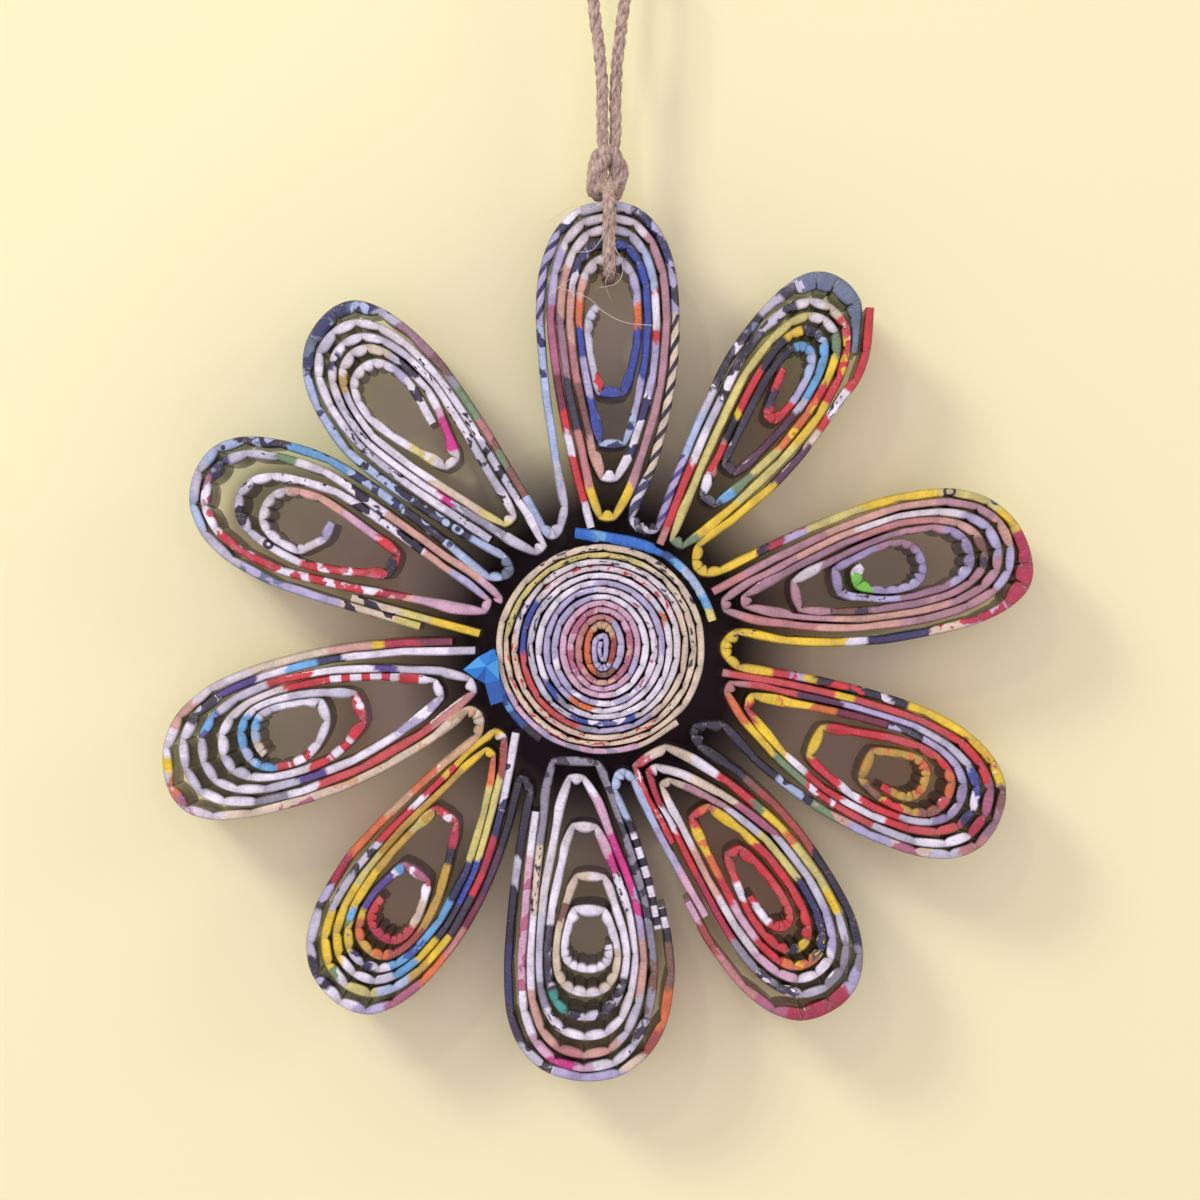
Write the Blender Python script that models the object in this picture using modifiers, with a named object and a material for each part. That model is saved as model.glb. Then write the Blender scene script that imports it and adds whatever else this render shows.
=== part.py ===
# Paper daisy ornament: ten petals and a round centre, each wound from a folded strip of
# magazine paper that stands on its edge, held together by an outline strip that runs round
# every petal, and hung from a loop of twine.
#
# Metres, +Z up, front towards -Y. The origin is where a hook bears on the twine loop, so the
# flower hangs below it. Every strip is one ply thick here and stands across the flower's depth.

import math

import bmesh
import bpy

MM = 0.001

# Driving dimensions
STRIP_DEPTH = 10.0 * MM            # front to back, the same for every strip
STRIP_THICKNESS = 0.7 * MM         # a folded strip, pressed flat
TOUCH_GAP = 0.3 * MM               # between glued pieces
CENTRE_RADIUS = 14.75 * MM         # outside of the round centre coil
CENTRE_PITCH = 1.05 * MM           # from one turn of the centre coil to the next
CENTRE_SIDES = 16                  # folds in one turn of it
CORE_RADIUS = 1.5 * MM             # where its strip begins
CORE_SQUEEZE = 1.0 * MM            # the core is taller than it is wide by twice this
TWINE_DIAMETER = 1.5 * MM
TWINE_X = 0.7 * MM                 # the twine hangs a little right of the middle
KNOT_HALF_WIDTH = 3.1 * MM
KNOT_HALF_DEPTH = 2.3 * MM
KNOT_HALF_HEIGHT = 4.1 * MM
RIM_TO_KNOT = 0.8 * MM             # from the top petal's rim to the knot's underside
LOOP_LENGTH = 31.6 * MM            # from the knot's top to the loop's highest point

# Petals and valleys are measured out from this radius, just outside the centre coil.
RIM = CENTRE_RADIUS + 0.25 * MM

# Shape of a turn
WIDEST = 0.67                      # how far out along a turn its widest place lies
FULLNESS = 0.84                    # below 1 the round end is fuller than an ellipse
HEAD_FOLDS = 4                     # folds in each half of a round end
SIDE_FOLDS = 3                     # folds along each long side
TIP = 0.02                         # share of a turn that crosses the narrow end

# Each petal: the way it points in degrees, whether its strip winds in clockwise, how much its
# left and right sides swell, where the strip starts and ends in turns, and the turns from the
# outside in. A turn gives, in mm: how far its narrow end is from the rim, how far that end
# leans to the right, half its width there, its half width to the left, how far its round end
# is from the rim, and its half width to the right.
PETALS = {
    "petal_01": (89.7, True, 1.5, 2.1, 0.02, 4.42, (
        (1.6, 0.4, 2.2, 7.6, 44.6, 8.4), (3.2, 0.4, 0.9, 6.2, 43.0, 7.1),
        (8.5, 0.6, 1.0, 4.95, 41.0, 5.85), (13.3, 1.0, 1.6, 3.7, 38.8, 4.6),
        (20.2, 0.8, 1.6, 2.5, 32.5, 3.4))),
    "petal_02": (56.8, True, 1.3, 1.8, 0.02, 4.27, (
        (1.2, -0.2, 1.1, 6.0, 41.4, 7.2), (2.8, 0.5, 0.8, 4.4, 39.7, 5.8),
        (10.0, 1.0, 1.0, 2.95, 37.6, 4.5), (15.3, 0.9, 1.0, 1.65, 35.2, 3.3),
        (24.2, 1.9, 0.65, 0.4, 33.2, 3.0))),
    "petal_03": (11.7, True, 1.5, 2.1, 0.02, 5.08, (
        (1.3, -3.0, 1.5, 10.7, 42.9, 5.1), (2.6, -2.4, 0.7, 9.6, 41.1, 3.95),
        (5.4, -2.35, 0.7, 8.5, 39.2, 2.75), (12.5, -1.6, 2.0, 7.45, 37.2, 1.6),
        (18.4, -2.5, 1.7, 6.2, 30.4, 0.5), (20.9, -2.3, 1.0, 4.9, 28.0, 0.0))),
    "petal_04": (-24.9, True, 1.45, 2.1, 0.02, 4.9, (
        (1.3, -2.7, 1.0, 9.4, 42.5, 6.6), (3.0, -2.3, 0.7, 8.3, 40.6, 5.45),
        (6.4, -1.65, 0.9, 7.2, 38.6, 4.25), (17.0, -0.5, 2.1, 6.0, 36.7, 3.0),
        (24.8, -0.6, 2.0, 4.3, 33.0, 1.3), (26.4, 0.3, 0.7, 2.0, 31.0, 1.0))),
    "petal_05": (-57.3, True, 2.2, 1.4, -0.12, 4.85, (
        (1.2, 2.7, 2.5, 7.9, 40.9, 6.8), (2.7, 3.5, 0.7, 6.6, 38.8, 5.6),
        (5.3, 2.9, 0.7, 5.3, 36.9, 4.3), (11.3, 1.1, 1.3, 3.9, 34.5, 3.0),
        (18.4, 0.2, 0.9, 2.3, 31.0, 1.7), (22.0, 0.8, 0.7, 1.0, 29.0, 1.0))),
    "petal_06": (-92.5, False, 1.6, 2.0, 0.07, 5.8, (
        (2.0, 5.6, 2.2, 8.8, 43.0, 9.5), (1.0, 3.3, 3.0, 7.4, 41.3, 8.2),
        (3.2, 3.0, 0.9, 6.2, 38.8, 7.1), (9.9, 1.6, 1.5, 5.0, 36.0, 5.9),
        (16.8, 0.5, 1.8, 3.8, 32.7, 4.7), (21.3, 0.4, 2.0, 2.7, 29.3, 3.6),
        (23.0, 0.0, 0.7, 1.5, 28.0, 2.0))),
    "petal_07": (-125.8, True, 1.7, 1.4, 0.02, 4.83, (
        (1.6, 4.6, 1.6, 5.95, 43.5, 9.9), (3.2, 4.7, 0.7, 4.85, 41.7, 8.8),
        (6.0, 4.35, 0.7, 3.7, 39.9, 7.5), (16.6, 4.2, 1.7, 2.3, 37.9, 6.0),
        (25.4, 2.9, 2.0, 1.2, 35.2, 4.8), (29.0, 3.2, 0.7, 0.0, 33.0, 4.0))),
    "petal_08": (-161.7, False, 2.2, 1.85, 0.02, 4.6, (
        (2.0, 2.0, 3.2, 5.6, 45.0, 11.1), (4.0, 0.8, 0.9, 4.2, 42.4, 9.8),
        (8.6, 1.8, 1.2, 2.9, 39.4, 8.6), (19.7, 2.8, 2.0, 1.7, 36.5, 7.5),
        (24.5, 3.9, 1.5, 0.3, 34.6, 6.4))),
    "petal_09": (157.2, False, 1.2, 1.2, 0.0, 3.02, (
        (1.0, 0.1, 0.6, 7.4, 44.4, 7.4), (2.3, -0.9, 0.8, 5.4, 39.5, 5.5),
        (16.3, -0.6, 1.5, 4.1, 35.6, 3.9), (26.4, 0.2, 1.2, 2.0, 33.0, 2.0))),
    "petal_10": (130.0, True, 1.3, 1.3, 0.066, 3.9, (
        (1.0, 0.6, 1.2, 7.9, 42.3, 6.5), (1.3, 2.0, 0.7, 6.75, 40.3, 5.4),
        (7.0, 1.3, 0.8, 5.65, 38.4, 4.3), (18.2, 0.3, 1.0, 4.5, 36.1, 2.9),
        (20.6, 0.3, 0.7, 3.0, 34.0, 2.0))),
}

# The outline round each petal, in mm: where its left side starts, its half width to the left,
# its round end from the rim and how far that leans right, its half width to the right, where
# its right side ends, and the floor of the valley to the next petal clockwise.
# Each place is (right of the petal's middle, out from the rim).
OUTLINE = {
    "petal_01": ((-5.6, 4.5), 9.1, 46.2, 0.0, 9.6, (3.7, 3.0), (5.2, 1.2)),
    "petal_02": ((-2.9, 3.0), 7.4, 45.2, -0.9, 8.7, (3.1, 4.0), (5.0, 1.2)),
    "petal_03": ((-7.2, 3.0), 12.1, 44.9, 0.4, 7.0, (1.7, 3.5), (3.4, 1.2)),
    "petal_04": ((-5.5, 3.0), 10.7, 44.2, -1.0, 8.0, (2.8, 4.5), (4.7, 1.2)),
    "petal_05": ((-3.9, 3.5), 9.3, 43.8, 0.2, 9.7, (6.5, 2.5), (7.4, 0.7)),
    "petal_06": ((-2.3, 4.5), 11.2, 44.4, 0.6, 11.3, (9.3, 5.0), (10.4, 3.4)),
    "petal_07": ((-1.3, 7.0), 7.2, 45.9, 1.0, 11.7, (7.1, 5.0), (8.3, 2.8)),
    "petal_08": ((-2.2, 5.5), 7.0, 47.8, 0.6, 12.4, (7.4, 4.6), None),
    "petal_09": ((-5.9, 1.6), 9.3, 46.0, 0.8, 9.3, (3.0, 3.5), (4.5, 1.2)),
    "petal_10": ((-2.6, 3.5), 9.7, 44.7, 1.2, 7.9, (4.2, 3.3), (4.9, 1.3)),
}
OUTLINE_SIDE_FOLDS = 4
VALLEY_FOLDS = 4
LAP = 1.05                         # mm between two outline strips where their ends lap

# The outline is five lengths of strip, lapped where one ends and the next begins. Each row is
# a petal, the share of its outline that the strip covers (0 left valley, 0.5 round end,
# 1 right valley), and how far the strip lies inside the outline at its two ends there.
OUTLINE_STRIPS = {
    "outline_strip_a": (("petal_09", 0.07, 1.0, 0.0, 0.0), ("petal_10", 0.0, 1.0, 0.0, 0.0),
                        ("petal_01", 0.0, 1.0, 0.0, 0.0), ("petal_02", 0.0, 0.56, 0.0, 0.0)),
    "outline_strip_b": (("petal_02", 0.73, 1.0, 0.0, 0.0), ("petal_03", 0.0, 1.0, 0.0, 0.0),
                        ("petal_04", 0.0, 1.0, 0.0, 0.0), ("petal_05", 0.0, 0.82, 0.0, 0.0)),
    "outline_strip_c": (("petal_05", 0.79, 1.0, 1.1 * LAP, 0.0),
                        ("petal_06", 0.0, 0.19, 0.0, LAP)),
    "outline_strip_d": (("petal_06", 0.16, 1.0, 0.0, 0.0), ("petal_07", 0.0, 1.0, 0.0, 0.0),
                        ("petal_08", 0.0, 1.0, 0.0, 0.0)),
    "outline_strip_e": (("petal_09", 0.0, 0.16, LAP, 1.1 * LAP),),
}
# Beside petal_02's round end the last length tucks in under the first, whose end stands up, in
# mm in that petal's own frame.
TUCKED_END = ((5.0, 41.2), (6.6, 38.0))
STANDING_END = ((5.0, 44.4), (7.9, 39.0), (8.9, 35.0))

# The blue wrap: two lengths of strip glued round the centre, by angle in degrees.
WRAP_TOP = (104.0, 14.0)
WRAP_SIDE = (181.0, 235.0)
WRAP_STEP = 9.0
WRAP_LIFT = 1.1 * MM               # how far the top length's free end stands off
FLAP_ANGLES = (181.0, 199.0)       # where the folded flap leaves the side length
FLAP_REACH = 4.6 * MM              # how far its point sticks out
FLAP_POINT = 190.5

# The hanging loop, in mm from the knot's top: (to the right, forwards, up).
LOOP_POINTS = (
    (-0.92, -0.2, 0.3), (-0.92, -0.3, 3.0), (-0.92, -0.3, 6.0), (-1.0, -0.2, 9.0),
    (-1.25, -0.1, 12.0), (-1.65, 0.0, 15.5), (-2.1, 0.0, 19.0), (-2.5, 0.0, 23.0),
    (-2.5, 0.0, 27.0), (-1.6, 0.0, 30.6), (0.0, 0.0, 31.6), (1.6, 0.0, 30.6),
    (2.5, 0.0, 27.0), (2.5, 0.0, 23.0), (2.1, 0.0, 19.0), (1.65, 0.0, 15.5),
    (1.25, 0.1, 12.0), (1.0, 0.2, 9.0), (0.92, 0.3, 6.0), (0.92, 0.3, 3.0),
    (0.92, 0.2, 0.3))
# The sling through the top petal, as (forwards from the middle, up from the rim) at the front
# and inside; the back repeats the front.
SLING_OVER_RIM = ((2.75, 2.7), (3.9, 1.95), (5.2, 1.3), (6.05, 0.3))
SLING_FRONT = ((6.2, -1.2), (6.25, -3.2), (6.2, -6.4), (5.7, -8.7), (4.2, -9.65), (2.0, -9.75))
CORD_STEP = 2.0 * MM

# The frame: heights above the flower's centre
TOP_RIM = RIM + OUTLINE["petal_01"][2] * MM + STRIP_THICKNESS / 2
KNOT_CENTRE = TOP_RIM + RIM_TO_KNOT + KNOT_HALF_HEIGHT
KNOT_TOP = KNOT_CENTRE + KNOT_HALF_HEIGHT
ORIGIN_HEIGHT = KNOT_TOP + LOOP_LENGTH - TWINE_DIAMETER / 2

PAPER = {
    "petal_01": (0.62, 0.50, 0.58), "petal_02": (0.80, 0.72, 0.38),
    "petal_03": (0.62, 0.46, 0.45), "petal_04": (0.70, 0.20, 0.17),
    "petal_05": (0.68, 0.30, 0.22), "petal_06": (0.66, 0.60, 0.60),
    "petal_07": (0.68, 0.55, 0.18), "petal_08": (0.64, 0.62, 0.66),
    "petal_09": (0.72, 0.56, 0.55), "petal_10": (0.60, 0.59, 0.58),
    "centre_coil": (0.70, 0.64, 0.58), "centre_wrap_top": (0.05, 0.30, 0.68),
    "centre_wrap_side": (0.05, 0.33, 0.75), "outline_strip_a": (0.46, 0.49, 0.60),
    "outline_strip_b": (0.72, 0.58, 0.12), "outline_strip_c": (0.62, 0.60, 0.72),
    "outline_strip_d": (0.40, 0.34, 0.38), "outline_strip_e": (0.74, 0.64, 0.30),
}
PAPER_ROUGHNESS = 0.35
TWINE_COLOUR = (0.42, 0.31, 0.20)
TWINE_ROUGHNESS = 0.9


# Scene and materials

def clear_scene():
    for item in list(bpy.data.objects):
        bpy.data.objects.remove(item)


def make_material(name, colour, roughness):
    material = bpy.data.materials.new(name)
    material.use_nodes = True
    shader = material.node_tree.nodes["Principled BSDF"]
    shader.inputs["Base Color"].default_value = (*colour, 1.0)
    shader.inputs["Roughness"].default_value = roughness
    shader.inputs["Metallic"].default_value = 0.0
    material.diffuse_color = (*colour, 1.0)
    return material


def add_object(name, data, colour, roughness):
    item = bpy.data.objects.new(name, data)
    data.materials.append(make_material(name, colour, roughness))
    PARTS.objects.link(item)
    return item


# Strips that stand on edge

def standing_strip(name, route, front=STRIP_DEPTH / 2, flap=None):
    """A strip that follows route, as (x, z) from the flower's centre, and spans its depth.

    flap, if given, is (first, last, point): it turns the front edge between two places of the
    route outwards to a point, as a triangle that lies over the front.
    """
    mesh = bpy.data.meshes.new(name)
    shape = bmesh.new()
    near = [shape.verts.new((x, -front, z - ORIGIN_HEIGHT)) for x, z in route]
    edges = [shape.edges.new(pair) for pair in zip(near, near[1:])]
    grown = bmesh.ops.extrude_edge_only(shape, edges=edges)["geom"]
    moved = [part for part in grown if isinstance(part, bmesh.types.BMVert)]
    bmesh.ops.translate(shape, verts=moved, vec=(0.0, front + STRIP_DEPTH / 2, 0.0))
    if flap:
        first, last, (x, z) = flap
        point = shape.verts.new((x, -front, z - ORIGIN_HEIGHT))
        for a, b in zip(near[first:last], near[first + 1:last + 1]):
            shape.faces.new((a, b, point))
    bmesh.ops.recalc_face_normals(shape, faces=shape.faces)
    shape.to_mesh(mesh)
    shape.free()
    item = add_object(name, mesh, PAPER[name], PAPER_ROUGHNESS)
    wall = item.modifiers.new("Wall", "SOLIDIFY")
    wall.thickness = STRIP_THICKNESS
    wall.offset = 0.0
    wall.use_even_offset = True
    return item


def place(degrees, across, out):
    """A place in a petal's own frame, in mm right of its middle and out from the rim."""
    angle = math.radians(degrees)
    side, reach = across * MM, out * MM + RIM
    return (reach * math.cos(angle) + side * math.sin(angle),
            reach * math.sin(angle) - side * math.cos(angle))


def side_line(widest, corner, swell, share):
    """From the widest place (share 0) to the narrow end's corner (share 1)."""
    return (widest[0] + (corner[0] - widest[0]) * share ** swell,
            widest[1] + (corner[1] - widest[1]) * share)


def round_end(widest, head, share):
    """A quarter of the round end, from the widest place (share 0) to its middle (share 1)."""
    angle = share * math.pi / 2
    return (head[0] + (widest[0] - head[0]) * math.cos(angle) ** FULLNESS,
            widest[1] + (head[1] - widest[1]) * math.sin(angle) ** FULLNESS)


# Petals

def turn_point(petal, place_in_turns):
    """Where the strip lies after so many turns, counted from the first turn's narrow end."""
    _, clockwise, left_swell, right_swell, _, _, turns = petal
    index = math.floor(place_in_turns)
    share = place_in_turns - index
    rising = -1 if clockwise else 1
    swell = {-1: left_swell, 1: right_swell}

    def narrow(number, side):
        tip, lean, pinch = turns[number][:3]
        return (lean + side * pinch, tip)

    def widest(number, side):
        tip, _, _, left, head, right = turns[max(number, 0)]
        half = right if side > 0 else left
        outside = LAP if number < 0 else 0.0
        return (side * (half + outside), tip + WIDEST * (head - tip))

    def head(number):
        _, _, _, left, reach, right = turns[max(number, 0)]
        return ((right - left) / 2 * FULLNESS, reach)

    if share < TIP:
        middle, corner = narrow(index, 0), narrow(index, rising)
        return (middle[0] + (corner[0] - middle[0]) * share / TIP, corner[1])
    if share < 0.25:
        down = 1 - (share - TIP) / (0.25 - TIP)
        return side_line(widest(index, rising), narrow(index, rising), swell[rising], down)
    if share < 0.5:
        return round_end(widest(index, rising), head(index), (share - 0.25) * 4)
    if share < 0.75:
        return round_end(widest(index, -rising), head(index), (0.75 - share) * 4)
    if share < 1 - TIP:
        down = (share - 0.75) / (0.25 - TIP)
        return side_line(widest(index, -rising), narrow(index + 1, -rising), swell[-rising], down)
    middle, corner = narrow(index + 1, 0), narrow(index + 1, -rising)
    return (middle[0] + (corner[0] - middle[0]) * (1 - share) / TIP, corner[1])


def fold_places(start, end):
    """Where the strip is creased, in turns: at the round ends, along the sides and the tips."""
    legs = ((TIP, 0.25, SIDE_FOLDS), (0.25, 0.5, HEAD_FOLDS),
            (0.5, 0.75, HEAD_FOLDS), (0.75, 1 - TIP, SIDE_FOLDS))
    places = []
    for whole in range(math.floor(start), math.ceil(end)):
        for low, high, count in legs:
            places += [whole + low + (high - low) * step / count for step in range(count)]
        places.append(whole + 1 - TIP)
    shortest = TIP / 4
    inside = [at for at in places if start + shortest < at < end - shortest]
    return [start] + inside + [end]


def make_petals():
    for name, petal in PETALS.items():
        degrees, start, end = petal[0], petal[4], petal[5]
        route = [place(degrees, *turn_point(petal, at)) for at in fold_places(start, end)]
        standing_strip(name, route)


# Outline

def outline_point(name, share):
    """A place on a petal's outline: 0 left valley, 0.5 round end, 1 right valley."""
    _, _, left_swell, right_swell, _, _, turns = PETALS[name]
    left_corner, left, head, lean, right, right_corner, _ = OUTLINE[name]
    tip, reach = turns[0][0], turns[0][4]
    widest = tip + WIDEST * (reach - tip)
    left_place, right_place = (-left, widest), (right, widest)
    if share < 0.25:
        return side_line(left_place, left_corner, left_swell, 1 - share * 4)
    if share < 0.5:
        return round_end(left_place, (lean, head), (share - 0.25) * 4)
    if share < 0.75:
        return round_end(right_place, (lean, head), (0.75 - share) * 4)
    return side_line(right_place, right_corner, right_swell, (share - 0.75) * 4)


def outline_places(start, end):
    steps = 4 * OUTLINE_SIDE_FOLDS
    places = [step / steps for step in range(steps + 1)]
    return [start] + [at for at in places if start + 0.02 < at < end - 0.02] + [end]


def outline_run(name, start, end, start_inside, end_inside):
    folds = []
    for at in outline_places(start, end):
        inside = start_inside + (end_inside - start_inside) * (at - start) / (end - start)
        across, out = outline_point(name, at)
        across += inside if at < 0.5 else -inside
        folds.append(place(PETALS[name][0], across, out))
    return folds


def valley(name, before, after):
    """The folds between two petals: a curve from one side to the next through the floor."""
    floor = place(PETALS[name][0], *OUTLINE[name][6])
    pull = [2 * floor[axis] - (before[axis] + after[axis]) / 2 for axis in (0, 1)]
    folds = []
    for step in range(1, VALLEY_FOLDS):
        t = step / VALLEY_FOLDS
        folds.append(tuple((1 - t) ** 2 * before[axis] + 2 * t * (1 - t) * pull[axis]
                           + t ** 2 * after[axis] for axis in (0, 1)))
    return folds


def make_outline():
    tucked, standing = ([place(PETALS["petal_02"][0], *point) for point in points]
                        for points in (TUCKED_END, STANDING_END))
    for name, runs in OUTLINE_STRIPS.items():
        route = list(standing) if name == "outline_strip_b" else []
        for number, run in enumerate(runs):
            folds = outline_run(*run)
            if number:
                route += valley(runs[number - 1][0], route[-1], folds[0])
            route += folds
        if name == "outline_strip_a":
            route += tucked
        standing_strip(name, route)


# Centre

def polar(radius, degrees):
    angle = math.radians(degrees)
    return (radius * math.cos(angle), radius * math.sin(angle))


def make_centre_coil():
    outer = CENTRE_RADIUS - STRIP_THICKNESS / 2
    turns = (outer - CORE_RADIUS) / CENTRE_PITCH
    route = []
    for fold in range(math.floor(turns * CENTRE_SIDES) + 1):
        turned = fold / CENTRE_SIDES
        radius = outer - CENTRE_PITCH * turned
        squeeze = CORE_SQUEEZE * (1 - radius / outer)
        angle = -2 * math.pi * turned - math.pi / 4
        route.append(((radius - squeeze) * math.cos(angle), (radius + squeeze) * math.sin(angle)))
    standing_strip("centre_coil", route)


def make_wraps():
    seat = CENTRE_RADIUS + TOUCH_GAP + STRIP_THICKNESS / 2
    start, end = WRAP_TOP
    steps = round((start - end) / WRAP_STEP)
    route = []
    for step in range(steps + 1):
        share = step / steps
        lift = WRAP_LIFT * max(0.0, 1 - 4 * share) ** 2
        route.append(polar(seat + lift, start + (end - start) * share))
    standing_strip("centre_wrap_top", route)
    start, end = WRAP_SIDE
    steps = round((end - start) / WRAP_STEP)
    angles = [start + (end - start) * step / steps for step in range(steps + 1)]
    last = max(index for index, angle in enumerate(angles) if angle <= FLAP_ANGLES[1] + 1)
    front = STRIP_DEPTH / 2 + TOUCH_GAP + STRIP_THICKNESS / 2
    point = polar(seat + FLAP_REACH, FLAP_POINT)
    standing_strip("centre_wrap_side", [polar(seat, angle) for angle in angles],
                   front, (0, last, point))


# Twine

def smooth_route(points, step):
    """Points about one step apart on a Catmull-Rom curve through the given points."""
    padded = [points[0], *points, points[-1]]
    route = [points[0]]
    for p0, p1, p2, p3 in zip(padded, padded[1:], padded[2:], padded[3:]):
        count = max(1, round(math.dist(p1, p2) / step))
        for number in range(1, count + 1):
            t = number / count
            route.append(tuple(
                0.5 * (2 * b + (c - a) * t + (2 * a - 5 * b + 4 * c - d) * t ** 2
                       + (3 * b - a - 3 * c + d) * t ** 3)
                for a, b, c, d in zip(p0, p1, p2, p3)))
    return route


def cord(name, points):
    curve = bpy.data.curves.new(name, "CURVE")
    curve.dimensions = "3D"
    curve.bevel_depth = TWINE_DIAMETER / 2
    curve.bevel_resolution = 2
    curve.use_fill_caps = True
    line = curve.splines.new("POLY")
    route = smooth_route(points, CORD_STEP)
    line.points.add(len(route) - 1)
    for point, (x, y, z) in zip(line.points, route):
        point.co = (x, y, z, 1.0)
    return add_object(name, curve, TWINE_COLOUR, TWINE_ROUGHNESS)


def make_twine():
    knot_top = KNOT_TOP - ORIGIN_HEIGHT
    cord("twine_loop", [(TWINE_X + right * MM, forward * MM, knot_top + up * MM)
                        for right, forward, up in LOOP_POINTS])
    rim = TOP_RIM - ORIGIN_HEIGHT
    front = [(TWINE_X, -forward * MM, rim + up * MM)
             for forward, up in SLING_OVER_RIM + SLING_FRONT]
    back = [(x, -y, z) for x, y, z in reversed(front)]
    cord("twine_sling", front + back)
    bpy.ops.mesh.primitive_uv_sphere_add(
        segments=20, ring_count=12, radius=1.0,
        location=(TWINE_X, 0.0, KNOT_CENTRE - ORIGIN_HEIGHT))
    knot = bpy.context.object
    knot.name = knot.data.name = "twine_knot"
    knot.scale = (KNOT_HALF_WIDTH, KNOT_HALF_DEPTH, KNOT_HALF_HEIGHT)
    for owner in list(knot.users_collection):
        owner.objects.unlink(knot)
    PARTS.objects.link(knot)
    knot.data.materials.append(make_material("twine_knot", TWINE_COLOUR, TWINE_ROUGHNESS))
    knot.data.shade_smooth()


clear_scene()
PARTS = bpy.data.collections.new("paper_daisy_ornament")
bpy.context.scene.collection.children.link(PARTS)
make_petals()
make_outline()
make_centre_coil()
make_wraps()
make_twine()
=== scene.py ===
import math

import bpy
import numpy as np
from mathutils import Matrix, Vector


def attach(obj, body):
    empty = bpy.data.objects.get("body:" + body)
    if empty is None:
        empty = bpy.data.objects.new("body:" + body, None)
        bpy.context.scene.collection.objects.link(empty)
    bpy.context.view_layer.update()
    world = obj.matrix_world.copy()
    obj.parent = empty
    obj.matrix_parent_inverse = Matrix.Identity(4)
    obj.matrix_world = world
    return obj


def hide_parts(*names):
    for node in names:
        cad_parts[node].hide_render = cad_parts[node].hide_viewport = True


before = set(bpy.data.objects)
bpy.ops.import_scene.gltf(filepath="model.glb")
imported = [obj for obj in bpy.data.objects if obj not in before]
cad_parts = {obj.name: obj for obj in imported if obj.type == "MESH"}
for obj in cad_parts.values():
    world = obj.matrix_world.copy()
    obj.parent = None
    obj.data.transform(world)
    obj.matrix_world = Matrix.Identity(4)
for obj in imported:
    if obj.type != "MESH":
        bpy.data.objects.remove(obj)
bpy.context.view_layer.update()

# Looks of a hanging daisy of wound magazine-paper strips. Every strip follows the route that its
# solid follows, and gets a rounded fold along its front edge, creases where it bends, a ply
# that buckles inwards at tight bends, and printed colour that changes along its length.

MM = 0.001
UV_UNIT = 0.01                    # one UV unit is 100 mm
FULL_TURN = 6.2832
DEPTH = 10.0                      # mm, front to back
CENTRE_RADIUS = 14.75
CENTRE_PITCH = 1.05
CENTRE_SIDES = 14.37              # folds in a turn, so that no two laps fold alike
CORE_RADIUS = 1.5
CORE_SQUEEZE = 1.0
CORE_END = ((0.15, 1.75), (0.3, 0.2), (0.05, -1.7), (-0.45, -1.3), (-0.7, 0.0), (-0.45, 0.9))
SEAT = 15.4                       # middle of the blue wrap
RIM = 15.0
TWINE = 1.5
TWINE_X = 0.7
DROP = 101.4                      # the flower's centre below the origin
TOP_RIM = 61.55
KNOT_TOP = 70.55
KNOT_CENTRE = 66.45
WIDEST, FULLNESS, TIP, LAP = 0.67, 0.84, 0.02, 1.05
HEAD_FOLDS, SIDE_FOLDS = 4, 3
OUTLINE_SIDE_FOLDS, VALLEY_FOLDS = 4, 4

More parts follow.
